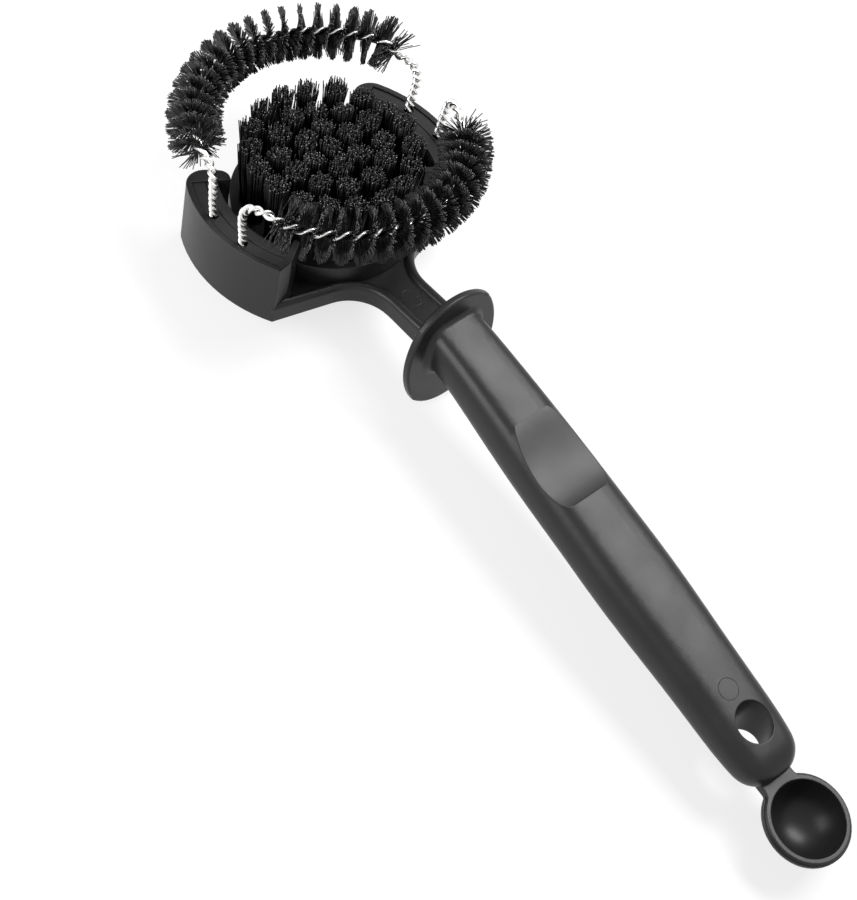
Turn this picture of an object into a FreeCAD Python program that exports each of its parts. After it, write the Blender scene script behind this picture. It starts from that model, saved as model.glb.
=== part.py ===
import FreeCAD, Part
import math
import os

import Sketcher
from FreeCAD import Placement, Rotation, Vector

# Cleaning brush for the group head of a coffee machine, in millimetres and degrees.
# Everything is drawn in the head's own frame: X across the head, Y towards the tip,
# Z along the tufts, with Z = 0 at the underside of the two pods. The finished pieces
# are then turned together into the pose in which the brush lies on a table.

# Driving sizes
SIZES = [
    ("block_radius", 22.2, "round block that carries the tufts"),
    ("block_height", 5.3, "height of the block above the plate"),
    ("spigot_radius", 6.0, "plug under the block"),
    ("fit_clearance", 0.05, "clearance of pieces that are pushed into the moulding"),
    ("floor_height", 3.8, "thickness of the yoke plate"),
    ("seat_depth", 0.3, "recess of the block in the plate"),
    ("spigot_relief", 0.4, "plug's end above the yoke's underside"),
    ("bead_radius", 1.2, "rounding of the bead along the yoke's edge"),
    ("seat_margin", 1.0, "plate beyond the block on the tip side"),
    ("seat_angle", 8.0, "ends of the plate's round edge to the line across the head"),
    ("shoulder_margin", 1.5, "plate beyond the pods' inner wall on the line across the head"),
    ("pod_clearance", 0.7, "block to the pod's end walls"),
    ("lip_gap", 2.4, "block to the pod's inner lip"),
    ("lip_thickness", 1.3, "inner lip of a pod"),
    ("lip_height", 11.0, "top of the inner lip"),
    ("strip_thickness", 2.85, "retaining strip"),
    ("wire_block_thickness", 3.35, "block that holds the wire ends"),
    ("pod_wall", 1.3, "outer wall of a pod"),
    ("pod_floor", 3.0, "floor of a pod"),
    ("pod_height", 17.3, "height of a pod"),
    ("pod_tip_angle", 36.6, "end of a pod on the tip side"),
    ("pod_neck_angle", 33.0, "end of a pod on the neck side"),
    ("pod_corner_angle", 30.0, "outer corner on the neck side"),
    ("cavity_angle", 29.4, "both ends of a pod's cavity"),
    ("pod_outer_round", 4.6, "outer corner on the tip side"),
    ("pod_inner_round", 2.6, "inner corner on the tip side"),
    ("pod_end_step", 0.7, "from the wire block to the bend in a pod's end wall"),
    ("insert_step", 0.35, "strip and wire block below the pod's top"),
    ("insert_gap", 0.2, "space between a strip and its wire block"),
    ("wire_hole_angle", 9.7, "wire hole to the line across the head"),
    ("wire_hole_depth", 9.0, "depth of a wire hole"),
    ("strand_radius", 0.5, "one strand of the twisted wire"),
    ("strand_gap", 0.24, "space between the two strands"),
    ("leg_twist", 3.9, "length of one twist in a bare leg"),
    ("ring_twist", 7.8, "length of one twist among the bristles"),
    ("leg_lean", 1.1, "how far a leg leans outwards at its top"),
    ("leg_rise", 13.4, "least height of a leg's bend above the pods"),
    ("bend_height", 3.6, "height of the bend between a leg and its loop"),
    ("bend_angle", 18.0, "end of that bend to the wire hole"),
    ("right_leg_drop", 1.4, "right legs shorter than the left ones, as bent by hand"),
    ("far_ring_radius", 32.1, "far wire loop"),
    ("far_ring_rise", 14.4, "far wire loop above the pods"),
    ("near_ring_radius", 30.3, "near wire loop"),
    ("near_ring_rise", 11.7, "near wire loop above the pods"),
    ("far_bare_angle", 22.0, "ends of the far bristles to the line across"),
    ("near_right_bare_angle", 29.0, "right end of the near bristles to the line across"),
    ("near_left_bare_angle", 24.0, "left end of the near bristles to the line across"),
    ("bristle_reach", 6.3, "length of the wire brush's bristles from the core"),
    ("bristle_fan", 2.5, "thickness of the bristle spiral at its edge"),
    ("bristle_pinch", 0.06, "thickness of the bristles between the strands"),
    ("tuft_radius", 1.65, "a tuft where it leaves the block"),
    ("tuft_top_radius", 2.25, "a tuft at its tip"),
    ("tuft_length", 18.0, "a tuft above the block"),
    ("tuft_ring_step", 6.1, "distance between the rings of tufts"),
    ("tuft_turn", 7.0, "first tuft of a ring to the line across"),
    ("tuft_lean", 0.2, "outward lean of a tuft for each ring"),
    ("tuft_hole_depth", 3.6, "depth of a tuft's hole"),
    ("anchor_height", 1.5, "flat wire anchor under a tuft"),
    ("anchor_thickness", 0.35, "thickness of the anchor"),
    ("flare_angle", 13.7, "neck side of the yoke"),
    ("flare_round", 10.5, "curve from the yoke into the neck"),
    ("neck_half_width", 5.7, "half of the neck's width"),
    ("neck_drop", 1.2, "underside of the neck below the pods"),
    ("keel_inset", 0.35, "deep part of the neck inside its edges"),
    ("guard_distance", 45.6, "middle of the guard to the head's axis"),
    ("guard_centre_drop", 0.1, "middle of the guard below the pods' underside"),
    ("guard_half_width", 13.6, "guard, across"),
    ("guard_half_height", 15.6, "guard, up and down"),
    ("guard_thickness", 2.0, "thickness of the guard"),
    ("guard_lean", 4.0, "lean of the guard towards the head"),
    ("guard_edge_round", 0.6, "rounding of the guard's rim"),
    ("guard_root_round", 1.6, "hollow between the guard and the grip"),
    ("grip_droop", 18.4, "grip axis below the head's plane"),
    ("grip_rise", 4.1, "grip axis above the pods' underside at the guard"),
    ("grip_length", 124.1, "guard to the round end of the grip"),
    ("grip_end_round", 8.3, "length of the grip's rounded end"),
    ("thumb_top", 6.45, "top of the grip above its axis at the thumb rest"),
    ("thumb_start", 26.5, "start of the thumb rest"),
    ("thumb_length", 22.2, "length of the thumb rest"),
    ("thumb_depth", 1.45, "depth of the thumb rest"),
    ("hole_inset", 13.1, "hanging hole before the end of the grip"),
    ("hole_level", 5.0, "height above the axis at which the hole is placed"),
    ("hole_radius", 4.7, "hanging hole"),
    ("spoon_reach", 11.2, "middle of the spoon beyond the end of the grip"),
    ("spoon_tilt", 15.0, "spoon's rim to the head's plane"),
    ("spoon_inner_radius", 9.25, "inside of the spoon"),
    ("spoon_wall", 0.85, "wall of the spoon's bowl"),
    ("spoon_rim_band", 0.85, "how far the band round the rim stands out"),
    ("spoon_rim_height", 1.7, "height of the rim with its band"),
    ("spoon_rim_step", 0.4, "rim inside the band, and the rounding of its edge"),
    ("web_half_width", 4.6, "web between the grip and the spoon"),
    ("web_thickness", 2.2, "thickness of the web"),
    ("web_overlap", 4.0, "how far the web runs into the grip"),
    ("web_round", 1.6, "hollow where the web's sides meet the rim"),
]

document = FreeCAD.newDocument("group_head_brush")
sheet = document.addObject("Spreadsheet::Sheet", "sizes")
for row, (alias, value, words) in enumerate(SIZES, start=1):
    sheet.set("A%d" % row, words)
    sheet.set("B%d" % row, str(value))
    sheet.setAlias("B%d" % row, alias)
document.recompute()


def size(alias):
    return float(sheet.get(alias))


# Radii of the pod's layers, each laid outside the one before
pod_foot_radius = size("block_radius") + size("pod_clearance")
lip_inner_radius = size("block_radius") + size("lip_gap")
strip_inner_radius = lip_inner_radius + size("lip_thickness")
wire_block_inner_radius = strip_inner_radius + size("strip_thickness")
cavity_radius = wire_block_inner_radius + size("wire_block_thickness")
pod_outer_radius = cavity_radius + size("pod_wall")
wire_circle_radius = cavity_radius - size("wire_block_thickness") / 2
cavity_angle = size("cavity_angle")
grip_end = size("grip_length")
insert_top = size("pod_height") - size("insert_step")
block_top = size("floor_height") + size("block_height")

# The grip's axis runs from the guard down towards the spoon
droop = math.radians(size("grip_droop"))
grip_start = Vector(0, -size("guard_distance"), size("grip_rise"))
grip_along = Vector(0, -math.cos(droop), -math.sin(droop))
grip_up = Vector(0, -math.sin(droop), math.cos(droop))


def grip_point(station, height):
    return grip_start + grip_along * station + grip_up * height


def polar(radius, degrees):
    return Vector(radius * math.cos(math.radians(degrees)), radius * math.sin(math.radians(degrees)), 0)


# Cutting outlines reach this far beyond what they cut
CUT_MARGIN = 8.0


# Sketch helpers
def origin_plane(body, role):
    return [part for part in body.Origin.OriginFeatures if part.Role == role][0]


def new_sketch(body, name, role="XY_Plane", offset=None):
    sketch = body.newObject("Sketcher::SketchObject", name)
    sketch.AttachmentSupport = [(origin_plane(body, role), "")]
    sketch.MapMode = "FlatFace"
    if offset is not None:
        sketch.AttachmentOffset = offset
    return sketch


def at_height(height):
    return Placement(Vector(0, 0, height), Rotation())


def draw(sketch, start, steps):
    """Draw a closed outline; a step is (point,) for a line or (middle, point) for an arc."""
    first = sketch.GeometryCount
    here = start
    for step in steps:
        if len(step) == 1:
            sketch.addGeometry(Part.LineSegment(here, step[0]))
        else:
            sketch.addGeometry(Part.Arc(here, step[0], step[1]))
        here = step[-1]
    last = sketch.GeometryCount - 1
    for index in range(first, last + 1):
        after = index + 1 if index < last else first
        for end in (1, 2):
            for begin in (1, 2):
                if sketch.getPoint(index, end).distanceToPoint(sketch.getPoint(after, begin)) < 1e-6:
                    if not (last - first == 1 and index == last):
                        sketch.addConstraint(Sketcher.Constraint("Coincident", index, end, after, begin))


def draw_circle(sketch, centre, alias):
    """Draw a circle whose radius follows the named size."""
    index = sketch.addGeometry(Part.Circle(centre, Vector(0, 0, 1), size(alias)))
    constraint = sketch.addConstraint(Sketcher.Constraint("Radius", index, size(alias)))
    sketch.renameConstraint(constraint, alias)
    sketch.setExpression("Constraints." + alias, "sizes." + alias)
    return index


def draw_sector(sketch, inner, outer, low, high):
    """Draw part of a ring between two radii and two angles."""
    middle = (low + high) / 2
    draw(sketch, polar(inner, low), [
        (polar(outer, low),),
        (polar(outer, middle), polar(outer, high)),
        (polar(inner, high),),
        (polar(inner, middle), polar(inner, low)),
    ])


def pad(body, name, sketch, length, symmetric=False, reverse=False):
    feature = body.newObject("PartDesign::Pad", name)
    feature.Profile = sketch
    feature.Length = 1
    feature.setExpression("Length", length)
    feature.Midplane = symmetric
    feature.Reversed = reverse
    document.recompute()
    return feature


def pocket(body, name, sketch, length, symmetric=False, reverse=False):
    before = body.Shape.Volume
    feature = body.newObject("PartDesign::Pocket", name)
    feature.Profile = sketch
    feature.Length = 1
    feature.setExpression("Length", length)
    feature.Midplane = symmetric
    feature.Reversed = reverse
    document.recompute()
    if body.Shape.Volume > before - 1e-3:
        raise ValueError(name + " cuts nothing")
    return feature


def edges_where(shape, test):
    return ["Edge%d" % (index + 1) for index, edge in enumerate(shape.Edges) if test(edge)]


def fillet(body, name, base, edges, radius):
    feature = body.newObject("PartDesign::Fillet", name)
    feature.Base = (base, edges)
    feature.Radius = radius
    document.recompute()
    return feature


# Handle moulding: yoke, pods, neck, guard, grip, web and spoon in one piece
handle = document.addObject("PartDesign::Body", "handle_moulding")
handle.Label = "handle_moulding"


def mirrored(point):
    return Vector(-point.x, point.y, point.z)


def flare_outline(inset):
    """Right-hand edge of the yoke from the neck to the pod's corner, as line, arc and line."""
    slope = math.radians(size("flare_angle"))
    corner = polar(pod_outer_radius, -size("pod_corner_angle"))
    centre_x = size("neck_half_width") + size("flare_round")
    centre_y = corner.y - (corner.x - centre_x) * math.tan(slope) - size("flare_round") / math.cos(slope)
    centre = Vector(centre_x, centre_y, 0)
    radius = size("flare_round") + inset
    turn = math.radians(45 + size("flare_angle") / 2)
    neck_end = Vector(centre_x - radius, -size("guard_distance"), 0)
    arc_start = Vector(centre_x - radius, centre_y, 0)
    arc_middle = centre + Vector(-math.cos(turn), math.sin(turn), 0) * radius
    arc_end = centre + Vector(-math.sin(slope), math.cos(slope), 0) * radius
    return neck_end, arc_start, arc_middle, arc_end, corner + Vector(0, inset / math.cos(slope), 0)


neck_end, arc_start, arc_middle, arc_end, corner = flare_outline(0)
seat_radius = size("block_radius") + size("seat_margin")
shoulder = polar(pod_foot_radius + size("shoulder_margin"), 0)
tip_start = polar(seat_radius, size("seat_angle"))
plate = new_sketch(handle, "yoke_outline")
draw(plate, tip_start, [
    (Vector(0, seat_radius, 0), mirrored(tip_start)),
    (mirrored(shoulder),),
    (mirrored(corner),),
    (mirrored(arc_end),),
    (mirrored(arc_middle), mirrored(arc_start)),
    (mirrored(neck_end),),
    (neck_end,),
    (arc_start,),
    (arc_middle, arc_end),
    (corner,),
    (shoulder,),
    (tip_start,),
])
pad(handle, "yoke_plate", plate, "sizes.floor_height")

# Underside of the neck, which deepens towards the guard
keel = new_sketch(handle, "keel_profile", "YZ_Plane")
keel_back = -size("block_radius")
keel_top = size("floor_height") / 4
draw(keel, Vector(keel_back, 0, 0), [
    (Vector(-size("guard_distance"), -size("neck_drop"), 0),),
    (Vector(-size("guard_distance"), keel_top, 0),),
    (Vector(keel_back, keel_top, 0),),
    (Vector(keel_back, 0, 0),),
])
pad(handle, "neck_keel", keel, "2 * (sizes.neck_half_width - sizes.keel_inset)", symmetric=True)

# Pods that hold the wire ends, with round corners towards the tip
def corner_round(radius, angle, rounding, outer):
    """Round the corner between a circle about the head's axis and a radial end face."""
    reach = radius - rounding if outer else radius + rounding
    centre_angle = angle - math.degrees(math.asin(rounding / reach))
    centre = polar(reach, centre_angle)
    on_circle = polar(radius, centre_angle)
    on_end = polar(math.sqrt(reach ** 2 - rounding ** 2), angle)
    middle = (on_circle + on_end) * 0.5 - centre
    middle.normalize()
    return on_circle, centre + middle * rounding, on_end


pods = new_sketch(handle, "pod_outlines")
outer_start, outer_middle, outer_stop = corner_round(
    pod_outer_radius, size("pod_tip_angle"), size("pod_outer_round"), True)
inner_start, inner_middle, inner_stop = corner_round(
    pod_foot_radius, size("pod_tip_angle"), size("pod_inner_round"), False)
for place in (lambda point: point, mirrored):
    neck = -size("pod_neck_angle")
    draw(pods, place(polar(pod_foot_radius, neck)), [
        (place(polar(wire_block_inner_radius + size("pod_end_step"), neck)),),
        (place(polar(pod_outer_radius, -size("pod_corner_angle"))),),
        (place(polar(pod_outer_radius, 0)), place(outer_start)),
        (place(outer_middle), place(outer_stop)),
        (place(inner_stop),),
        (place(inner_middle), place(inner_start)),
        (place(polar(pod_foot_radius, cavity_angle)),),
        (place(polar(lip_inner_radius, cavity_angle)),),
        (place(polar(lip_inner_radius, 0)), place(polar(lip_inner_radius, -cavity_angle))),
        (place(polar(pod_foot_radius, -cavity_angle)),),
        (place(polar(pod_foot_radius, (neck - cavity_angle) / 2)), place(polar(pod_foot_radius, neck))),
    ])
pad(handle, "pods", pods, "sizes.pod_height")

# Round bead along both edges of the neck and the yoke
neck_end, arc_start, arc_middle, arc_end, corner = flare_outline(size("bead_radius"))
bead_path = new_sketch(handle, "bead_path", offset=at_height(size("floor_height")))
bead_path.addGeometry(Part.LineSegment(neck_end, arc_start))
bead_path.addGeometry(Part.Arc(arc_start, arc_middle, arc_end))
bead_path.addGeometry(Part.LineSegment(arc_end, corner))
bead_circle = new_sketch(handle, "bead_circle", "XZ_Plane", Placement(
    Vector(0, size("floor_height"), size("guard_distance")), Rotation()))
draw_circle(bead_circle, Vector(neck_end.x, 0, 0), "bead_radius")
bead = handle.newObject("PartDesign::AdditivePipe", "bead")
bead.Profile = bead_circle
bead.Spine = bead_path
document.recompute()
second_bead = handle.newObject("PartDesign::Mirrored", "second_bead")
second_bead.Originals = [bead]
second_bead.MirrorPlane = (origin_plane(handle, "YZ_Plane"), [""])
handle.Tip = second_bead
document.recompute()

cavities = new_sketch(handle, "cavity_outlines", offset=at_height(size("pod_height")))
lips = new_sketch(handle, "lip_outlines", offset=at_height(size("pod_height")))
for low, high in ((-cavity_angle, cavity_angle), (180 - cavity_angle, 180 + cavity_angle)):
    draw_sector(cavities, strip_inner_radius, cavity_radius, low, high)
    draw_sector(lips, lip_inner_radius - size("lip_gap") / 4, strip_inner_radius + size("lip_thickness") / 4,
                low, high)
pocket(handle, "pod_cavities", cavities, "sizes.pod_height - sizes.pod_floor")
pocket(handle, "pod_lips", lips, "sizes.pod_height - sizes.lip_height")

# Recess and socket for the block and its plug
seat = new_sketch(handle, "seat_circle", offset=at_height(size("floor_height") + size("bead_radius")))
seat.addGeometry(Part.Circle(Vector(0, 0, 0), Vector(0, 0, 1), size("block_radius") + size("fit_clearance")))
pocket(handle, "block_seat", seat, "sizes.bead_radius + sizes.seat_depth")
socket = new_sketch(handle, "socket_circle", offset=at_height(size("floor_height")))
draw_circle(socket, Vector(0, 0, 0), "spigot_radius")
pocket(handle, "block_socket", socket, "2 * sizes.floor_height")

# Guard: an upright oval of four arcs, which meet at these shares of its half width and height
JOIN_ACROSS, JOIN_UP = 0.76, 0.72
guard = new_sketch(handle, "guard_outline", "XZ_Plane", Placement(
    Vector(0, -size("guard_centre_drop"), size("guard_distance")),
    Rotation(Vector(1, 0, 0), -size("guard_lean"))))
half_width = size("guard_half_width")
half_height = size("guard_half_height")
join = Vector(half_width * JOIN_ACROSS, half_height * JOIN_UP, 0)
draw(guard, join, [
    (Vector(0, half_height, 0), Vector(-join.x, join.y, 0)),
    (Vector(-half_width, 0, 0), Vector(-join.x, -join.y, 0)),
    (Vector(0, -half_height, 0), Vector(join.x, -join.y, 0)),
    (Vector(half_width, 0, 0), join),
])
guard_pad = pad(handle, "guard", guard, "sizes.guard_thickness", symmetric=True)


def on_guard_rim(edge):
    """True for the arcs that bound the guard's two faces."""
    middle = edge.valueAt((edge.FirstParameter + edge.LastParameter) / 2)
    radius = math.hypot(middle.x, middle.z + size("guard_centre_drop"))
    close = abs(middle.y + size("guard_distance")) < 1.5 * size("guard_thickness")
    return close and radius > half_width - size("guard_edge_round") and edge.Length > half_width / 2


guard_rim = fillet(handle, "guard_rim", guard_pad, edges_where(guard_pad.Shape, on_guard_rim),
                   size("guard_edge_round"))
guard_rim.setExpression("Radius", "sizes.guard_edge_round")

# Grip: a loft through rounded sections with a flat top. A section has its half width,
# its height above and below the axis and the half width of its flat top; a station is
# the section's share of the way from the guard to the rounded end.
GRIP_ROOT = (7.8, 6.5, 6.6, 5.1)
GRIP_ROOT_DROP = 1.2
GRIP_SECTIONS = [
    (0.078, (8.0, 5.9, 6.5, 5.2)),
    (0.209, (8.7, 6.5, 6.9, 5.5)),
    (0.391, (9.5, 6.6, 6.9, 5.8)),
    (0.557, (9.9, 6.6, 6.5, 6.1)),
    (0.713, (9.6, 6.5, 6.4, 6.0)),
    (0.861, (9.1, 6.1, 6.1, 5.7)),
]

# The rounded end: the section that shrinks, the turns at which it is drawn, how blunt it is
GRIP_END = (8.6, 5.3, 5.6, 5.3)
GRIP_END_TURNS = (0, 25, 45, 62, 76)
GRIP_END_BLUNTNESS = 0.75

# The outline's control points: how far round the corner or side they lie, as shares of
# the section's own sizes, and how far they stand out from it, in millimetres
TOP_CROWN = 0.15
TOP_SHARES = [(0.55, 0.10), (1.0, -0.05)]
CORNER_SHARES = [(0.45, -0.70), (0.95, None)]
CORNER_HEIGHT = 0.55
SIDE_SHARES = [(0.15, 0.0), (-0.10, -0.48)]
BELLY_SHARES = [(0.74, -0.93), (0.36, -1.0)]


def section_poles(section):
    """Control points of one section, from the middle of the top round to the middle again."""
    half, top, bottom, flat = section
    right = [(share * flat, top + rise) for share, rise in TOP_SHARES]
    for share, rise in CORNER_SHARES:
        height = CORNER_HEIGHT * top if rise is None else top + rise
        right.append((flat + share * (half - flat), height))
    right += [(half + out, share * bottom) for out, share in SIDE_SHARES]
    right += [(share * half, down * bottom) for share, down in BELLY_SHARES]
    left = [(-x, v) for x, v in reversed(right)]
    points = [(0.0, top + TOP_CROWN)] + right + [(0.0, -bottom - TOP_CROWN)] + left
    return [Vector(x, v, 0) for x, v in points]


def closed_curve(sketch, section):
    curve = Part.BSplineCurve()
    curve.buildFromPoles(section_poles(section), True, 3)
    sketch.addGeometry(curve)


def grip_section(name, station, section):
    centre = grip_point(station, 0)
    sketch = new_sketch(handle, name, "XZ_Plane", Placement(
        Vector(0, centre.z, -centre.y), Rotation(Vector(1, 0, 0), size("grip_droop"))))
    closed_curve(sketch, section)
    return sketch


root = new_sketch(handle, "grip_root", "XZ_Plane", Placement(
    Vector(0, size("grip_rise") - GRIP_ROOT_DROP, size("guard_distance")),
    Rotation(Vector(1, 0, 0), -size("guard_lean"))))
closed_curve(root, GRIP_ROOT)

sections = []
end_start = grip_end - size("grip_end_round")
for number, (share, section) in enumerate(GRIP_SECTIONS, start=1):
    sections.append(grip_section("grip_section_%d" % number, share * end_start, section))
for number, turn in enumerate(GRIP_END_TURNS, start=1):
    angle = math.radians(turn)
    shrink = math.cos(angle) ** GRIP_END_BLUNTNESS
    station = end_start + size("grip_end_round") * math.sin(angle)
    section = [length * shrink for length in GRIP_END]
    sections.append(grip_section("grip_end_%d" % number, station, section))
loft = handle.newObject("PartDesign::AdditiveLoft", "grip")
loft.Profile = root
loft.Sections = sections
loft.Ruled = False
loft.Closed = False
document.recompute()


def on_grip_root(edge):
    """True for the closed edge where the grip meets the guard's back face."""
    box = edge.BoundBox
    behind = box.YMax < -size("guard_distance") - 0.3 * size("guard_edge_round")
    inside = box.XMax < half_width - 2 * size("guard_root_round")
    return behind and inside and edge.Length > 4 * size("neck_half_width")


root_round = fillet(handle, "guard_root", loft, edges_where(loft.Shape, on_grip_root),
                    size("guard_root_round"))
root_round.setExpression("Radius", "sizes.guard_root_round")

# Spoon and the web that joins it to the grip
spoon_centre = grip_point(grip_end + size("spoon_reach"), 0)
tilt = math.radians(size("spoon_tilt"))
rim_out = Vector(-math.cos(tilt), -math.sin(tilt), 0)
rim_up = Vector(-math.sin(tilt), math.cos(tilt), 0)
bowl_radius = size("spoon_inner_radius") + size("spoon_wall")
rim_radius = bowl_radius + size("spoon_rim_band")
rim_step = size("spoon_rim_step")
lip_radius = rim_radius - rim_step


def spoon_point(out, up):
    """A point of the spoon's profile, drawn on the plane through the grip."""
    return Vector(spoon_centre.y, spoon_centre.z, 0) + rim_out * out + rim_up * up


# The web's outline in the plane of the rim: straight sides that end in hollows against it
web = new_sketch(handle, "web_outline", offset=Placement(
    spoon_centre, Rotation(Vector(1, 0, 0), size("spoon_tilt"))))
web_side, web_round = size("web_half_width"), size("web_round")
round_x = web_side + web_round
round_y = math.sqrt((lip_radius + web_round) ** 2 - round_x ** 2)
touch = Vector(round_x, round_y, 0) * (lip_radius / (lip_radius + web_round))
to_corner = touch + Vector(web_side, round_y, 0) - Vector(round_x, round_y, 0) * 2
to_corner.normalize()
round_middle = Vector(round_x, round_y, 0) + to_corner * web_round
web_far = Vector(web_side, size("spoon_reach") + size("web_overlap"), 0)
draw(web, web_far, [
    (Vector(web_side, round_y, 0),),
    (round_middle, touch),
    (mirrored(touch),),
    (mirrored(round_middle), Vector(-web_side, round_y, 0)),
    (mirrored(web_far),),
    (web_far,),
])
pad(handle, "web", web, "sizes.web_thickness", reverse=True)

bowl = new_sketch(handle, "bowl_profile", "YZ_Plane")
band = -size("spoon_rim_height")
lean = math.asin(-band / bowl_radius)
half_turn = (lean + math.pi / 2) / 2
corner_middle = rim_step * (1 - math.sqrt(0.5))
draw(bowl, spoon_point(0, 0), [
    (spoon_point(lip_radius - rim_step, 0),),
    (spoon_point(lip_radius - corner_middle, -corner_middle), spoon_point(lip_radius, -rim_step)),
    (spoon_point(lip_radius, band / 2),),
    (spoon_point(rim_radius, band / 2),),
    (spoon_point(rim_radius, band),),
    (spoon_point(bowl_radius * math.cos(lean), band),),
    (spoon_point(bowl_radius * math.cos(half_turn), -bowl_radius * math.sin(half_turn)),
     spoon_point(0, -bowl_radius)),
    (spoon_point(0, 0),),
])
bowl.addGeometry(Part.LineSegment(spoon_point(0, bowl_radius), spoon_point(0, -2 * bowl_radius)), True)
bowl_turn = handle.newObject("PartDesign::Revolution", "spoon_bowl")
bowl_turn.Profile = bowl
bowl_turn.ReferenceAxis = (bowl, ["Axis0"])
bowl_turn.Angle = 360
document.recompute()

hollow = new_sketch(handle, "hollow_profile", "YZ_Plane")
inner = size("spoon_inner_radius")
above_rim = 2 * size("spoon_wall")
draw(hollow, spoon_point(0, above_rim), [
    (spoon_point(inner, above_rim),),
    (spoon_point(inner, 0),),
    (spoon_point(inner * math.sqrt(0.5), -inner * math.sqrt(0.5)), spoon_point(0, -inner)),
    (spoon_point(0, above_rim),),
])
hollow.addGeometry(Part.LineSegment(spoon_point(0, bowl_radius), spoon_point(0, -2 * bowl_radius)), True)
full = handle.Shape.Volume
hollow_turn = handle.newObject("PartDesign::Groove", "spoon_hollow")
hollow_turn.Profile = hollow
hollow_turn.ReferenceAxis = (hollow, ["Axis0"])
hollow_turn.Angle = 360
document.recompute()
if handle.Shape.Volume > full - 1:
    raise ValueError("spoon_hollow cuts nothing")


# Thumb rest: a shallow scoop that ends in a ridge
def grip_profile(station, height):
    point = grip_point(station, height)
    return Vector(point.y, point.z, 0)


thumb = new_sketch(handle, "thumb_profile", "YZ_Plane")
thumb_start, thumb_top = size("thumb_start"), size("thumb_top")
thumb_end = thumb_start + size("thumb_length")
scoop_bottom = grip_profile((thumb_start + thumb_end) / 2, thumb_top - size("thumb_depth"))
draw(thumb, grip_profile(thumb_start, thumb_top), [
    (scoop_bottom, grip_profile(thumb_end, thumb_top)),
    (grip_profile(thumb_end, thumb_top + CUT_MARGIN),),
    (grip_profile(thumb_start, thumb_top + CUT_MARGIN),),
    (grip_profile(thumb_start, thumb_top),),
])
pocket(handle, "thumb_rest", thumb, "4 * sizes.neck_half_width", symmetric=True)

# Hanging hole, square to the head's plane
hole_centre = grip_point(grip_end - size("hole_inset"), size("hole_level"))
hole = new_sketch(handle, "hanging_hole_circle", offset=at_height(hole_centre.z + CUT_MARGIN))
draw_circle(hole, Vector(0, hole_centre.y, 0), "hole_radius")
pocket(handle, "hanging_hole", hole, "2 * sizes.guard_half_height")

# Pieces pushed into the moulding
block = document.addObject("PartDesign::Body", "tuft_block")
block.Label = "tuft_block"
disc_bottom = size("floor_height") - size("seat_depth")
disc = new_sketch(block, "block_circle", offset=at_height(disc_bottom))
draw_circle(disc, Vector(0, 0, 0), "block_radius")
pad(block, "block_disc", disc, "sizes.block_height + sizes.seat_depth")
spigot = new_sketch(block, "spigot_circle", offset=at_height(disc_bottom))
plug_radius = size("spigot_radius") - size("fit_clearance")
spigot.addGeometry(Part.Circle(Vector(0, 0, 0), Vector(0, 0, 1), plug_radius))
pad(block, "spigot", spigot, "sizes.floor_height - sizes.seat_depth - sizes.spigot_relief", reverse=True)

# Places of the tufts: one in the middle and three rings round it
TUFT_SIDES = 8
TUFT_RINGS = 4


def tuft_places(ring):
    if ring == 0:
        return [(0.0, 0.0)]
    count = 6 * ring
    radius = ring * size("tuft_ring_step")
    return [(radius, size("tuft_turn") + 360.0 * index / count) for index in range(count)]


def octagon(centre, radius):
    """Corners of a tuft's outline; the flats are at the stated radius."""
    corner = radius / math.cos(math.pi / TUFT_SIDES)
    turns = [math.pi * (2 * index + 1) / TUFT_SIDES for index in range(TUFT_SIDES + 1)]
    return [centre + Vector(corner * math.cos(turn), corner * math.sin(turn), 0) for turn in turns]


holes = new_sketch(block, "tuft_holes", offset=at_height(block_top))
for ring in range(TUFT_RINGS):
    for radius, angle in tuft_places(ring):
        corners = octagon(polar(radius, angle), size("tuft_radius") + size("fit_clearance"))
        draw(holes, corners[0], [(corner,) for corner in corners[1:]])
pocket(block, "tuft_sockets", holes, "sizes.tuft_hole_depth")


def insert_body(name, side, inner_radius, outer_radius):
    """A curved bar that fills one layer of a pod's cavity."""
    body = document.addObject("PartDesign::Body", name)
    body.Label = name
    gap = math.degrees(size("fit_clearance") / cavity_radius)
    sketch = new_sketch(body, name + "_outline", offset=at_height(size("pod_floor")))
    middle = 180 if side == "left" else 0
    low, high = middle - cavity_angle + gap, middle + cavity_angle - gap
    draw_sector(sketch, inner_radius, outer_radius, low, high)
    pad(body, name + "_bar", sketch, "sizes.pod_height - sizes.insert_step - sizes.pod_floor")
    return body


def wire_hole_places(side):
    turn = size("wire_hole_angle")
    return [turn, -turn] if side == "right" else [180 - turn, 180 + turn]


core_radius = 2 * size("strand_radius") + size("strand_gap") / 2
inserts = []
for side in ("left", "right"):
    wire_block = insert_body(side + "_wire_block", side, wire_block_inner_radius + size("insert_gap") / 2,
                             cavity_radius - size("fit_clearance"))
    wells = new_sketch(wire_block, side + "_wire_holes", offset=at_height(insert_top))
    for angle in wire_hole_places(side):
        wells.addGeometry(Part.Circle(polar(wire_circle_radius, angle), Vector(0, 0, 1),
                                      core_radius + size("fit_clearance")))
    pocket(wire_block, side + "_wire_wells", wells, "sizes.wire_hole_depth")
    strip = insert_body(side + "_retaining_strip", side, strip_inner_radius + size("fit_clearance"),
                        wire_block_inner_radius - size("insert_gap") / 2)
    inserts += [wire_block, strip]

document.recompute()


# Tufts and their anchors
def add_feature(name, shape):
    feature = document.addObject("Part::Feature", name)
    feature.Label = name
    feature.Shape = shape
    return feature


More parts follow.
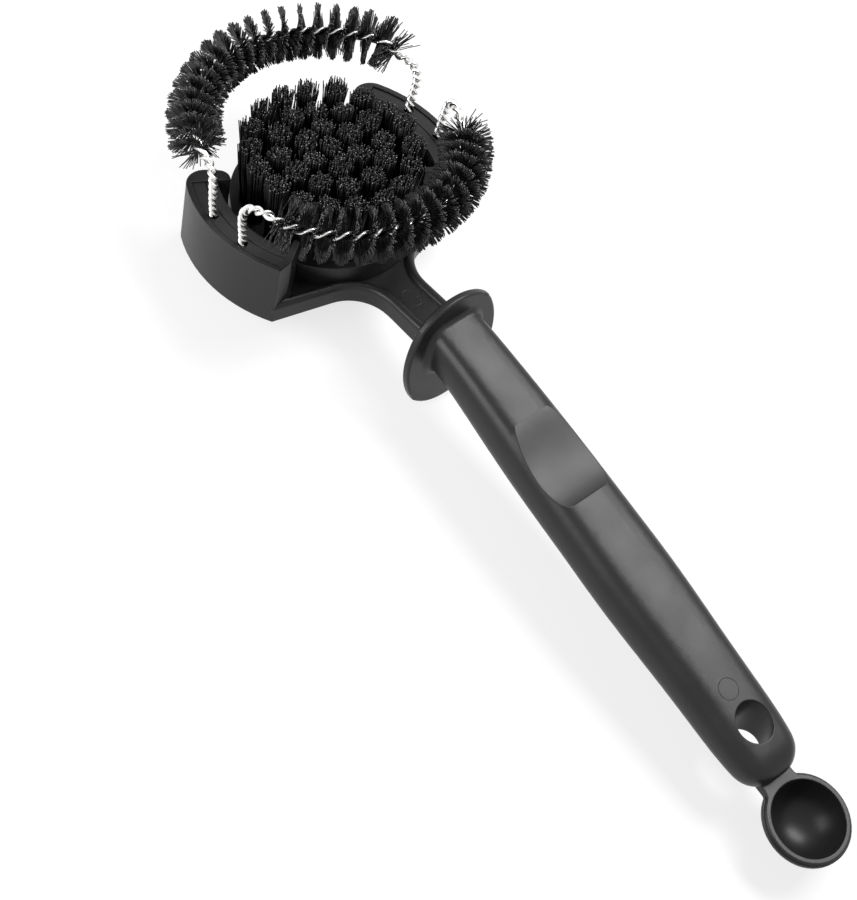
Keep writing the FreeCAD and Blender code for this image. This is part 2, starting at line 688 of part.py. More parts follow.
def tuft(radius, angle, ring):
    """One tuft: straight in its hole, then leaning outwards and spreading."""
    foot = polar(radius, angle)
    outward = polar(1, angle) if ring else Vector(0, 0, 0)
    base = block_top - size("tuft_hole_depth") + size("anchor_height")
    tip = foot + outward * (ring * size("tuft_lean"))
    levels = [(foot, base, size("tuft_radius")), (foot, block_top, size("tuft_radius")),
              (tip, block_top + size("tuft_length"), size("tuft_top_radius"))]
    wires = [Part.makePolygon(octagon(centre + Vector(0, 0, height), spread))
             for centre, height, spread in levels]
    return Part.makeLoft(wires, True, True)


def anchor(radius, angle):
    """The flat wire that holds a tuft down, across its hole."""
    length = 2 * size("tuft_radius")
    blade = Part.makeBox(length, size("anchor_thickness"), size("anchor_height"),
                         Vector(-length / 2, -size("anchor_thickness") / 2, 0))
    blade.Placement = Placement(polar(radius, angle) + Vector(0, 0, block_top - size("tuft_hole_depth")),
                                Rotation())
    return blade


tuft_nodes = {"tufts_inner": (0, 1), "tufts_middle": (2,), "tufts_outer": (3,)}
tuft_features = []
for name, rings in tuft_nodes.items():
    solids = [tuft(radius, angle, ring) for ring in rings for radius, angle in tuft_places(ring)]
    tuft_features.append(add_feature(name, Part.makeCompound(solids)))
anchors = [anchor(radius, angle) for ring in range(TUFT_RINGS) for radius, angle in tuft_places(ring)]
anchor_feature = add_feature("tuft_anchors", Part.makeCompound(anchors))


# Wire loops
# The bend from a leg into its loop passes through these points: shares of the way
# outwards to the loop's own radius, of the bend's angle and of its height
BEND = [(0.0, 0.07, 0.56), (0.0, 0.26, 0.94), (0.5, 0.58, 0.94)]
ROUTE_STEP = 11


def loop_route(side, ring_radius, rise, leg_drop):
    """Half of a loop's centre line, from the bottom of its hole to the middle of the loop.

    side is 1 for the far loop, towards the tip, and -1 for the near loop."""
    turn = size("wire_hole_angle")
    top = size("pod_height")
    ring_top = top + rise
    lean = size("leg_lean")
    leg_radius = wire_circle_radius + lean
    leg_top = max(ring_top, top + size("leg_rise")) - size("bend_height") - leg_drop
    foot = insert_top - size("wire_hole_depth") + size("fit_clearance")
    points = [(wire_circle_radius, turn, foot), (wire_circle_radius, turn, (foot + insert_top) / 2),
              (wire_circle_radius, turn, insert_top),
              (wire_circle_radius + 0.4 * lean, turn, top + size("bend_height")),
              (leg_radius, turn, leg_top)]
    for across, share, up in BEND:
        points.append((leg_radius + across * (ring_radius - leg_radius), turn + share * size("bend_angle"),
                       leg_top + up * size("bend_height")))
    points.append((ring_radius, turn + size("bend_angle"), ring_top))
    for angle in range(int(turn + size("bend_angle")) + ROUTE_STEP, 91, ROUTE_STEP):
        points.append((ring_radius, float(angle), ring_top))
    return [polar(radius, side * angle) + Vector(0, 0, height) for radius, angle, height in points]


def loop_curve(side, ring_radius, rise):
    right = loop_route(side, ring_radius, rise, size("right_leg_drop"))
    left = [mirrored(point) for point in reversed(loop_route(side, ring_radius, rise, 0.0))]
    middle = Vector(0, side * ring_radius, size("pod_height") + rise)
    right = [point for point in right if point.distanceToPoint(middle) > ring_radius / 12]
    left = [point for point in left if point.distanceToPoint(middle) > ring_radius / 12]
    curve = Part.BSplineCurve()
    curve.interpolate(right + [middle] + left)
    return curve


def frames_along(curve, places):
    """Centre, side and normal at each length along the curve, turned as little as possible."""
    frames = []
    side = None
    for place in places:
        parameter = curve.parameterAtDistance(place, curve.FirstParameter)
        centre = curve.value(parameter)
        along = Vector(*curve.tangent(parameter)[0])
        if side is None:
            side = Vector(0, 1, 0)
        side = side - along * side.dot(along)
        side.normalize()
        frames.append((centre, side, along.cross(side)))
    return frames


# The twist starts to slow down this far round the head from its hole
SLOW_DOWN_ANGLE = 4.0
STRAND_SIDES = 6
LEG_STEPS = 6
RING_STEPS = 8


def away_from_side(point):
    """Angle between the line across the head and the direction to the point."""
    angle = abs(math.degrees(math.atan2(point.y, point.x)))
    return min(angle, 180 - angle)


def twist_plan(curve, bare_angles):
    """Lengths along the loop and the left-handed twist at each: quick in the legs, slow in the bristles."""
    total = curve.length()
    buried = size("wire_hole_depth")
    hole_angle = size("wire_hole_angle")
    place = buried
    turned = 0.0
    plan = [(0.0, 0.0), (buried, 0.0)]
    while place < total - buried - 1e-6:
        point = curve.value(curve.parameterAtDistance(place, curve.FirstParameter))
        bare_angle = bare_angles[0] if point.x > 0 else bare_angles[1]
        away = away_from_side(point) - hole_angle - SLOW_DOWN_ANGLE
        share = min(max(away / (bare_angle - hole_angle), 0), 1)
        length = size("leg_twist") + (size("ring_twist") - size("leg_twist")) * share
        steps = LEG_STEPS + (RING_STEPS - LEG_STEPS) * share
        step = min(length / steps, total - buried - place)
        place += step
        turned -= 2 * math.pi * step / length
        plan.append((place, turned))
    plan.append((total, turned))
    return plan


def tube_solid(rings, crossed=()):
    """A closed solid of flat triangles through rings of points, each ring with as many points.

    The strips in crossed are split along their other diagonal."""
    count = len(rings[0])
    points = [point for ring in rings for point in ring]
    facets = []
    for level in range(len(rings) - 1):
        for index in range(count):
            after = (index + 1) % count
            a, b = level * count + index, level * count + after
            c, e = a + count, b + count
            if index in crossed:
                facets += [(a, b, c), (b, e, c)]
            else:
                facets += [(a, b, e), (a, e, c)]
    last = (len(rings) - 1) * count
    for a in range(count // 2 - 1):
        b, c, e = a + 1, count - 2 - a, count - 1 - a
        facets += [(a, c, b), (a, e, c)]
        facets += [(last + a, last + b, last + c), (last + a, last + c, last + e)]
    shape = Part.Shape()
    shape.makeShapeFromMesh((points, facets), 0.001)
    solid = Part.makeSolid(shape)
    if solid.Volume < 0:
        solid.reverse()
    return solid


def turned_by(side, normal, angle):
    return side * math.cos(angle) + normal * math.sin(angle)


def strand(sections, start_turn):
    offset = size("strand_radius") + size("strand_gap") / 2
    rings = []
    for turned, centre, side, normal in sections:
        turn = turned + start_turn
        middle = centre + turned_by(side, normal, turn) * offset
        corners = [turn + 2 * math.pi * corner / STRAND_SIDES for corner in range(STRAND_SIDES)]
        rings.append([middle + turned_by(side, normal, corner) * size("strand_radius") for corner in corners])
    return tube_solid(rings)


# The strips of the spiral that are split the other way, so that its two faces match
CROSSED_STRIPS = (2, 3, 7, 8)


def bristle_spiral(sections, bare_angles):
    """The bristles between the strands, as one thin spiral that widens towards its edges."""
    reach = size("bristle_reach")
    near = size("strand_radius")
    edge = size("bristle_fan") / 2
    waist = size("bristle_pinch") / 2
    rings = []
    for turned, centre, side, normal in sections:
        bare_angle = bare_angles[0] if centre.x > 0 else bare_angles[1]
        if away_from_side(centre) < bare_angle or centre.z < size("pod_height") + size("bristle_reach"):
            continue
        out = turned_by(side, normal, turned + math.pi / 2)
        across = turned_by(side, normal, turned + math.pi)
        front = [(reach, edge), (near, waist), (0, waist), (-near, waist), (-reach, edge)]
        back = [(place, -thickness) for place, thickness in reversed(front)]
        rings.append([centre + out * place + across * thickness for place, thickness in front + back])
    return tube_solid(rings, CROSSED_STRIPS)


loops = {"far": (1, "far_ring_radius", "far_ring_rise", ("far_bare_angle", "far_bare_angle")),
         "near": (-1, "near_ring_radius", "near_ring_rise",
                  ("near_right_bare_angle", "near_left_bare_angle"))}
loop_features = []
for name, (side, radius, rise, bare) in loops.items():
    curve = loop_curve(side, size(radius), size(rise))
    bare_angles = [size(alias) for alias in bare]
    plan = twist_plan(curve, bare_angles)
    frames = frames_along(curve, [place for place, turned in plan])
    sections = [(turned,) + frame for (place, turned), frame in zip(plan, frames)]
    loop_features.append(add_feature(name + "_wire_a", strand(sections, 0.0)))
    loop_features.append(add_feature(name + "_wire_b", strand(sections, math.pi)))
    loop_features.append(add_feature(name + "_wire_bristles", bristle_spiral(sections, bare_angles)))

# The pose on a table: on the tip ends of both pods and the bottom of the spoon
pod_contact = Vector(0, outer_middle.y, 0)
to_spoon = spoon_centre - pod_contact
rest_angle = math.degrees(math.atan2(-to_spoon.z, -to_spoon.y) + math.asin(bowl_radius / to_spoon.Length))
pieces = [handle, block] + inserts + tuft_features + [anchor_feature] + loop_features
turned_down = Placement(Vector(0, 0, 0), Rotation(Vector(1, 0, 0), -rest_angle))
for piece in pieces:
    piece.Placement = turned_down
document.recompute()
whole = FreeCAD.BoundBox()
for piece in pieces:
    whole.add(piece.Shape.optimalBoundingBox(False))
lift = Vector(-whole.Center.x, -whole.Center.y, -whole.ZMin)
for piece in pieces:
    piece.Placement = Placement(lift, Rotation(Vector(1, 0, 0), -rest_angle))
document.recompute()

# Checks before anything is written
for item in document.Objects:
    if "Invalid" in item.State or "Error" in item.State:
        raise ValueError("%s is %s" % (item.Name, item.State))
for piece in pieces:
    if piece.Shape.isNull() or not piece.Shape.isValid():
        raise ValueError("bad shape: " + piece.Label)

os.makedirs("parts", exist_ok=True)
for piece in pieces:
    piece.Shape.exportStep("parts/%s.step" % piece.Label)
    print("%-24s solids %2d faces %4d volume %9.1f" % (
        piece.Label, len(piece.Shape.Solids), len(piece.Shape.Faces), piece.Shape.Volume))
print("rest angle %.2f, lift %s" % (rest_angle, lift))
print("box %s" % whole)
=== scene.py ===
import math

import bpy
import numpy as np
from mathutils import Matrix, Vector
from mathutils.bvhtree import BVHTree


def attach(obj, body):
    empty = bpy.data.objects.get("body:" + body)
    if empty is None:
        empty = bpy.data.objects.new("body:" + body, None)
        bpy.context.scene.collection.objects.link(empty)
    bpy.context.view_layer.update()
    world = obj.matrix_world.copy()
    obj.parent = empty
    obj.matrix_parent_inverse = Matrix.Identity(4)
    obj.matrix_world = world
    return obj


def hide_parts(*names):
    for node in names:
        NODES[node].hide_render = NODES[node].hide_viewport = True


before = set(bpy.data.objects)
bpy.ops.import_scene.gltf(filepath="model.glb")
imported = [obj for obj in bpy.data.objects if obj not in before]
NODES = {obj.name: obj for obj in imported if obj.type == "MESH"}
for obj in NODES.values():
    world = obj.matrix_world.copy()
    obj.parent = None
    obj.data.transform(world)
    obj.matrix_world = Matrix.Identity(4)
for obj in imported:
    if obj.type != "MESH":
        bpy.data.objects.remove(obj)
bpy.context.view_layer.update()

bl_info = {
    "name": "Group head cleaning brush",
    "version": (1, 0, 0),
    "blender": (4, 5, 0),
    "location": "3D View > Sidebar > Cleaning brush",
    "description": "Filaments, twisted wires, finishes and studio for a coffee machine cleaning brush",
    "category": "Object",
}

# The head's own frame in the row frame: turned about X as the brush lies on the table
REST_ANGLE = math.radians(-14.35)
HEAD_ORIGIN = Vector((-0.000141, 0.071847, 0.005748))
HEAD_TO_ROW = Matrix.Translation(HEAD_ORIGIN) @ Matrix.Rotation(REST_ANGLE, 4, "X")
HEAD_TURN = np.array(HEAD_TO_ROW)[:3, :3]
HEAD_SHIFT = np.array(HEAD_TO_ROW)[:3, 3]

# Heights in the head's frame, in metres
BLOCK_TOP = 0.0091
POD_TOP = 0.0173
WELL_TOP = 0.01695

# Wells of the wire ends: depth, circle that they stand on, and angle from the line across the head
WELL_DEPTH = 0.009
WELL_FLOOR_GAP = 0.00005
WIRE_CIRCLE = 0.030425
WIRE_HOLE_ANGLE = 9.7

# Legs and bends of the wire loops; each stop of BEND is the share of the way in, round and up
LEG_RISE = 0.0134
RIGHT_LEG_DROP = 0.0014
LEAN_AT_BEND_HEIGHT = 0.4
BEND_HEIGHT = 0.0036
BEND_ANGLE = 18.0
BEND = [(0.0, 0.07, 0.56), (0.0, 0.26, 0.94), (0.5, 0.58, 0.94)]
ROUTE_STEP = 11
CLEAR_OF_MIDDLE = 1 / 12

# Bare ends of the loops at the right and the left, in degrees, and the steps of one twist
FAR_BARE_ANGLES = (22.0, 22.0)
NEAR_BARE_ANGLES = (29.0, 24.0)
SLOW_DOWN_ANGLE = 4.0
LEAST_BRISTLE_RISE = 0.0063
LEG_STEPS = 6
RING_STEPS = 8

# Points along a loop, and the finer ones from which they are spaced
LOOP_SAMPLES = 2400
FINE_SAMPLES = 4000

# The grip's axis from the guard in the head's frame, and the thumb rest's cut along it
GRIP_START = np.array([0.0, -0.0456, 0.0041])
GRIP_DROOP = math.radians(18.4)
GRIP_ALONG = np.array([0.0, -math.cos(GRIP_DROOP), -math.sin(GRIP_DROOP)])
GRIP_UP = np.array([0.0, -math.sin(GRIP_DROOP), math.cos(GRIP_DROOP)])
THUMB_START = 0.0265
THUMB_LENGTH = 0.0222
THUMB_TOP = 0.00645
THUMB_DEPTH = 0.00145

# Middles of the ejector marks in the row frame: on the grip, on the neck, and the small one beside it
GRIP_MARK = Vector((-0.0008, -0.0731, 0.0203))
NECK_MARK = HEAD_TO_ROW @ Vector((0.0, -0.032, 0.0038))
SMALL_MARK = HEAD_TO_ROW @ Vector((0.0011, -0.033, 0.0038))
SMALL_MARK_SHARE = 0.22

# The camera in the head's frame, and its lens in millimetres
CAMERA_PLACE = Vector((-0.30357, -0.27594, 0.43341))
CAMERA_RIGHT = Vector((0.7308, -0.6666, 0.1468))
CAMERA_UP = Vector((0.4633, 0.6424, 0.6104))
CAMERA_LENS = 105.475

# The floor's half width, how far it is below the brush, and where its shadows fade out
FLOOR_REACH = 4.0
FLOOR_GAP = 0.0001
FLOOR_FADE = (0.2, 0.5)

# The floor's greys: as it lights the brush, the part that takes shadows, and the part that glows
FLOOR_PAPER = 0.75
FLOOR_VEIL = 0.28
FLOOR_GLOW = 0.74


def to_row(points):
    """Points of the head's frame, as an array, in the row frame."""
    return np.asarray(points) @ HEAD_TURN.T + HEAD_SHIFT


def on_circle(radius, degrees, height):
    """A point of the head's frame on a circle round its axis."""
    angle = math.radians(degrees)
    return [radius * math.cos(angle), radius * math.sin(angle), height]


# Shader maths
class Signal:
    """An output socket that takes part in Python expressions."""

    def __init__(self, shader, socket):
        self.shader = shader
        self.socket = socket

    def maths(self, operation, first, second):
        return self.shader.node("ShaderNodeMath", {"operation": operation}, {0: first, 1: second})

    def __add__(self, other):
        return self.maths("ADD", self, other)

    def __radd__(self, other):
        return self.maths("ADD", other, self)

    def __sub__(self, other):
        return self.maths("SUBTRACT", self, other)

    def __rsub__(self, other):
        return self.maths("SUBTRACT", other, self)

    def __mul__(self, other):
        return self.maths("MULTIPLY", self, other)

    def __rmul__(self, other):
        return self.maths("MULTIPLY", other, self)

    def clamped(self):
        """The value kept between 0 and 1."""
        return self.shader.node("ShaderNodeClamp", {}, {"Value": self})

    def fade(self, start, stop):
        """Smoothly from 1 at start to 0 at stop."""
        return self.shader.node(
            "ShaderNodeMapRange", {"interpolation_type": "SMOOTHSTEP"},
            {"Value": self, "From Min": start, "From Max": stop, "To Min": 1.0, "To Max": 0.0})


class Shader:
    """A material or world whose nodes are added one call at a time."""

    def __init__(self, owner):
        owner.use_nodes = True
        self.owner = owner
        self.tree = owner.node_tree
        self.tree.nodes.clear()

    def node(self, kind, settings=None, inputs=None, output=0):
        """Add a node: its settings first, then the values or links of its sockets."""
        node = self.tree.nodes.new(kind)
        for name, value in (settings or {}).items():
            setattr(node, name, value)
        for name, value in (inputs or {}).items():
            if isinstance(value, Signal):
                self.tree.links.new(value.socket, node.inputs[name])
            else:
                node.inputs[name].default_value = value
        return Signal(self, node.outputs[output]) if len(node.outputs) else None

    def blend(self, factor, first, second):
        """Colour between two colours."""
        return self.node("ShaderNodeMix", {"data_type": "RGBA"}, {0: factor, 6: first, 7: second}, output=2)

    def noise(self, place, scale, detail):
        """Even noise between 0 and 1, with this many patches to a metre."""
        return self.node("ShaderNodeTexNoise", {}, {"Vector": place, "Scale": scale, "Detail": detail})

    def place(self):
        """The place on the brush, in metres."""
        return self.node("ShaderNodeTexCoord", output="Object")

    def distance_to(self, place, point):
        """How far the place is from a point."""
        return self.node("ShaderNodeVectorMath", {"operation": "DISTANCE"},
                         {0: place, 1: point}, output="Value")

    def bump(self, height, depth, edge=0.0):
        """A normal for this height, with the piece's edges rounded off by the radius edge."""
        inputs = {"Strength": 1.0, "Distance": depth, "Height": height}
        if edge:
            inputs["Normal"] = self.node("ShaderNodeBevel", {"samples": 8}, {"Radius": edge})
        return self.node("ShaderNodeBump", {}, inputs)

    def surface(self, finish):
        """Use this shader as the material's surface."""
        self.node("ShaderNodeOutputMaterial", {}, {"Surface": finish})


def grey(value, warmth=0.0):
    """A near-neutral colour, a little warmer or cooler."""
    return (value * (1 + warmth), value, value * (1 - warmth), 1.0)


def toned(colour, share):
    """The colour made darker or lighter."""
    return [channel * share for channel in colour[:3]] + [1.0]


def new_material(name):
    return Shader(bpy.data.materials.new(name))


def moulded_plastic(name, colour, roughness, shine, edge=0.0):
    """Satin black moulding with a fine spark-eroded grain."""
    shader = new_material(name)
    place = shader.place()
    mottle = shader.noise(place, scale=140.0, detail=3.0)
    grain = shader.noise(place, scale=5200.0, detail=1.0)
    flow = shader.noise(place, scale=34.0, detail=2.0)
    dark = toned(colour, 0.82)
    light = toned(colour, 1.2)
    height = grain * 0.4 + flow * 0.5
    bsdf = shader.node("ShaderNodeBsdfPrincipled", {}, {
        "Base Color": shader.blend(mottle, dark, light),
        "Roughness": (mottle - 0.5) * 0.14 + (grain - 0.5) * 0.1 + roughness,
        "Specular IOR Level": shine,
        "Normal": shader.bump(height, depth=0.00004, edge=edge),
    })
    shader.surface(bsdf)
    return shader.owner


def nylon(name, dark, light, roughness, shine):
    """Filaments, each with a shade of its own; on a cut-end material the light shades are painted glints."""
    shader = new_material(name)
    shade = shader.node("ShaderNodeAttribute", {"attribute_name": "shade"}, output="Fac")
    streak = shader.noise(shader.place(), scale=900.0, detail=2.0)
    bsdf = shader.node("ShaderNodeBsdfPrincipled", {}, {
        "Base Color": shader.blend((shade * 0.8 + streak * 0.2).clamped(), dark, light),
        "Roughness": (streak - 0.5) * 0.2 + roughness,
        "Specular IOR Level": shine,
        "Normal": shader.bump(streak, depth=0.00002),
    })
    shader.surface(bsdf)
    return shader.owner


def metal(name, colour, roughness):
    """Drawn wire: bright, with faint scratches and duller patches."""
    shader = new_material(name)
    place = shader.place()
    patch = shader.noise(place, scale=260.0, detail=3.0)
    scratch = shader.noise(place, scale=3000.0, detail=2.0)
    bsdf = shader.node("ShaderNodeBsdfPrincipled", {}, {
        "Base Color": shader.blend(patch, toned(colour, 0.78), colour),
        "Metallic": 1.0,
        "Roughness": (patch - 0.5) * 0.2 + (scratch - 0.5) * 0.16 + roughness,
        "Normal": shader.bump(scratch, depth=0.000012),
    })
    shader.surface(bsdf)
    return shader.owner


# Mesh helpers
def new_object(name, mesh):
    """An object for the mesh that rides on the brush."""
    piece = bpy.data.objects.new(name, mesh)
    bpy.context.scene.collection.objects.link(piece)
    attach(piece, "root")
    return piece


def unit_rows(rows):
    """The rows scaled to a length of 1."""
    return rows / np.linalg.norm(rows, axis=1)[:, None]


def circle_about(first, second, sides):
    """Corners of a circle of radius 1 in the plane of two directions, for each row of them."""
    turns = np.arange(sides) * 2 * math.pi / sides
    return (first[:, None, :] * np.cos(turns)[None, :, None]
            + second[:, None, :] * np.sin(turns)[None, :, None])


def tube_quads(starts, levels, sides):
    """Quads of tubes with this many rings of corners, from the number of each tube's first corner."""
    low = np.asarray(starts)[:, None, None] + np.arange(levels - 1)[None, :, None] * sides
    corner = np.arange(sides)[None, None, :]
    after = (corner + 1) % sides
    quads = np.stack([low + corner, low + after, low + after + sides, low + corner + sides], axis=-1)
    return quads.reshape(-1, 4)


def filaments(name, lines, radius, sides, materials, shades):
    """Thin rods, open at the root: lines has one row of points for each filament, from root to tip."""
    count, levels = lines.shape[0], lines.shape[1]
    along = unit_rows(lines[:, -1] - lines[:, 0])
    helper = np.where(np.abs(along[:, 2:3]) < 0.9, [[0.0, 0.0, 1.0]], [[1.0, 0.0, 0.0]])
    first = unit_rows(np.cross(along, helper))
    ring = circle_about(first, np.cross(along, first), sides)
    points = (lines[:, :, None, :] + ring[:, None, :, :] * radius).reshape(-1, 3)
    quads = tube_quads(np.arange(count) * levels * sides, levels, sides)
    caps = (np.arange(count)[:, None] * levels + levels - 1) * sides + np.arange(sides)[None, :]

    mesh = bpy.data.meshes.new(name)
    mesh.from_pydata(to_row(points).tolist(), [], quads.tolist() + caps.tolist())
    mesh.polygons.foreach_set("material_index", [0] * len(quads) + [1] * count)
    mesh.polygons.foreach_set("use_smooth", [True] * len(quads) + [False] * count)
    attribute = mesh.attributes.new("shade", "FLOAT", "POINT")
    attribute.data.foreach_set("value", np.repeat(shades, levels * sides))
    mesh.update()
    for material in materials:
        mesh.materials.append(material)
    return new_object(name, mesh)


def smooth_route(stops, count):
    """Evenly spaced points on a natural cubic spline through the stops."""
    stops = np.asarray(stops)
    gaps = np.linalg.norm(np.diff(stops, axis=0), axis=1)
    knots = np.concatenate([[0.0], np.cumsum(gaps)])
    size = len(stops)
    system = np.zeros((size, size))
    right = np.zeros((size, 3))
    system[0, 0] = system[-1, -1] = 1.0
    for row in range(1, size - 1):
        system[row, row - 1] = gaps[row - 1]
        system[row, row] = 2 * (gaps[row - 1] + gaps[row])
        system[row, row + 1] = gaps[row]
        after = (stops[row + 1] - stops[row]) / gaps[row]
        before = (stops[row] - stops[row - 1]) / gaps[row - 1]
        right[row] = 3 * (after - before)
    curve = np.linalg.solve(system, right)

    def at(values):
        """Points of the curve at these knot values."""
        spans = np.clip(np.searchsorted(knots, values, side="right") - 1, 0, size - 2)
        step = (values - knots[spans])[:, None]
        gap = gaps[spans][:, None]
        slope = (stops[spans + 1] - stops[spans]) / gap - gap * (2 * curve[spans] + curve[spans + 1]) / 3
        bend = (curve[spans + 1] - curve[spans]) / (3 * gap)
        return stops[spans] + slope * step + curve[spans] * step ** 2 + bend * step ** 3

    fine = at(np.linspace(0, knots[-1], FINE_SAMPLES))
    length = np.concatenate([[0.0], np.cumsum(np.linalg.norm(np.diff(fine, axis=0), axis=1))])
    even = np.linspace(0, length[-1], count)
    return even, np.stack([np.interp(even, length, fine[:, axis]) for axis in range(3)], axis=1)


# Route of the two wire loops, from hole to hole
class Loop:
    """Centre line of a wire loop with its twist: side is 1 towards the tip and -1 towards the neck."""

    def __init__(self, side, radius, rise, bare_angles, lean, leg_twist, ring_twist):
        right = self.half(side, radius, rise, lean, RIGHT_LEG_DROP)
        left = [[-x, y, z] for x, y, z in reversed(self.half(side, radius, rise, lean, 0.0))]
        middle = [0.0, side * radius, POD_TOP + rise]
        clear = radius * CLEAR_OF_MIDDLE
        right = [point for point in right if math.dist(point, middle) > clear]
        left = [point for point in left if math.dist(point, middle) > clear]
        self.lengths, self.centres = smooth_route(right + [middle] + left, LOOP_SAMPLES)
        self.tangents = unit_rows(np.gradient(self.centres, axis=0))
        across = np.array([0.0, 1.0, 0.0])
        sides = []
        for tangent in self.tangents:
            across = across - tangent * across.dot(tangent)
            across = across / np.linalg.norm(across)
            sides.append(across)
        self.sides = np.array(sides)
        self.normals = np.cross(self.tangents, self.sides)
        angle = np.degrees(np.abs(np.arctan2(self.centres[:, 1], self.centres[:, 0])))
        self.away = np.minimum(angle, 180 - angle)
        self.bare_angle = np.where(self.centres[:, 0] > 0, bare_angles[0], bare_angles[1])
        self.turns = self.twist(leg_twist, ring_twist)

    def twist(self, leg_twist, ring_twist):
        """The left-handed twist along the loop: quick in the legs, slow among the bristles."""
        share = (self.away - WIRE_HOLE_ANGLE - SLOW_DOWN_ANGLE) / (self.bare_angle - WIRE_HOLE_ANGLE)
        share = np.clip(share, 0, 1)
        place, turned = WELL_DEPTH, 0.0
        end = self.lengths[-1] - WELL_DEPTH
        places, turns = [0.0, place], [0.0, turned]
        while place < end - 1e-9:
            here = np.interp(place, self.lengths, share)
            pitch = leg_twist + (ring_twist - leg_twist) * here
            step = min(pitch / (LEG_STEPS + (RING_STEPS - LEG_STEPS) * here), end - place)
            place += step
            turned -= 2 * math.pi * step / pitch
            places.append(place)
            turns.append(turned)
        return np.interp(self.lengths, places + [self.lengths[-1]], turns + [turned])

    def half(self, side, radius, rise, lean, leg_drop):
        """Stops of half a loop, from the bottom of its hole to the middle of the loop."""
        turn = WIRE_HOLE_ANGLE
        ring_top = POD_TOP + rise
        leg_radius = WIRE_CIRCLE + lean
        leg_top = max(ring_top, POD_TOP + LEG_RISE) - BEND_HEIGHT - leg_drop
        stops = [
            (WIRE_CIRCLE, turn, WELL_TOP - WELL_DEPTH + WELL_FLOOR_GAP),
            (WIRE_CIRCLE, turn, WELL_TOP - WELL_DEPTH / 2),
            (WIRE_CIRCLE, turn, WELL_TOP),
            (WIRE_CIRCLE + LEAN_AT_BEND_HEIGHT * lean, turn, POD_TOP + BEND_HEIGHT),
            (leg_radius, turn, leg_top),
        ]
        for across, share, up in BEND:
            stops.append((leg_radius + across * (radius - leg_radius), turn + share * BEND_ANGLE,
                          leg_top + up * BEND_HEIGHT))
        stops.append((radius, turn + BEND_ANGLE, ring_top))
        for angle in range(int(turn + BEND_ANGLE) + ROUTE_STEP, 91, ROUTE_STEP):
            stops.append((radius, float(angle), ring_top))
        return [on_circle(place, side * angle, height) for place, angle, height in stops]

    def at(self, lengths):
        """Centre, side, normal, tangent and twist at these lengths."""
        def read(values):
            """Rows of a table of the loop at the lengths."""
            return np.stack([np.interp(lengths, self.lengths, values[:, axis]) for axis in range(3)], axis=1)

        return (read(self.centres), read(self.sides), read(self.normals), read(self.tangents),
                np.interp(lengths, self.lengths, self.turns))

    def bristled(self):
        """First and last length that carries bristles."""
        inside = (self.away > self.bare_angle) & (self.centres[:, 2] > POD_TOP + LEAST_BRISTLE_RISE)
        return self.lengths[inside][0], self.lengths[inside][-1]


def brush_loops(settings):
    """The loop towards the tip and the loop towards the neck."""
    return {
        "far": Loop(1, settings.far_radius, settings.far_rise, FAR_BARE_ANGLES, settings.leg_lean,
                    settings.leg_twist, settings.ring_twist),
        "near": Loop(-1, settings.near_radius, settings.near_rise, NEAR_BARE_ANGLES, settings.leg_lean,
                     settings.leg_twist, settings.ring_twist),
    }


# Sizes and colours that a user would change
class BrushHandleSettings(bpy.types.PropertyGroup):
    thumb_depth: bpy.props.FloatProperty(
        name="Thumb rest", description="Depth of the thumb rest",
        default=0.00165, precision=5, unit="LENGTH")
    thumb_start: bpy.props.FloatProperty(
        name="Gentle start", description="How slowly the thumb rest starts; 1 is an even scoop",
        default=1.5, min=1.0, max=3.0)
    mark_radius: bpy.props.FloatProperty(
        name="Ejector mark", description="Radius of the ring that an ejector pin leaves",
        default=0.00255, precision=5, unit="LENGTH")
    mark_width: bpy.props.FloatProperty(
        name="Mark width", description="Width of the ring's line",
        default=0.00034, precision=5, unit="LENGTH")
    mark_height: bpy.props.FloatProperty(
        name="Mark height", description="Height of the ring's line above the surface",
        default=0.00005, precision=5, unit="LENGTH")


class BrushTuftSettings(bpy.types.PropertyGroup):
    filament_count: bpy.props.IntProperty(
        name="Filaments", description="Filaments in one tuft", default=96, min=10, max=200)
    filament_radius: bpy.props.FloatProperty(
        name="Filament radius", description="Radius of one nylon filament",
        default=0.00014, precision=5, unit="LENGTH")
    ring_step: bpy.props.FloatProperty(
        name="Ring step", description="Distance between the rings of tufts",
        default=0.0061, precision=4, unit="LENGTH")
    turn: bpy.props.FloatProperty(
        name="Turn", description="First tuft of a ring to the line across the head",
        default=math.radians(7.0), subtype="ANGLE")
    root_radius: bpy.props.FloatProperty(
        name="Root radius", description="Radius of a tuft where it leaves the block",
        default=0.00165, precision=5, unit="LENGTH")
    tip_radius: bpy.props.FloatProperty(
        name="Tip radius", description="Radius of a tuft at its tip",
        default=0.0029, precision=5, unit="LENGTH")
    length: bpy.props.FloatProperty(
        name="Length", description="Length of a tuft above the block",
        default=0.018, precision=4, unit="LENGTH")
    lean: bpy.props.FloatProperty(
        name="Lean", description="Outward lean of a tuft for each ring",
        default=0.0002, precision=5, unit="LENGTH")
    scatter: bpy.props.FloatProperty(
        name="Scatter", description="How far a filament's tip strays from its place",
        default=0.00024, precision=5, unit="LENGTH")


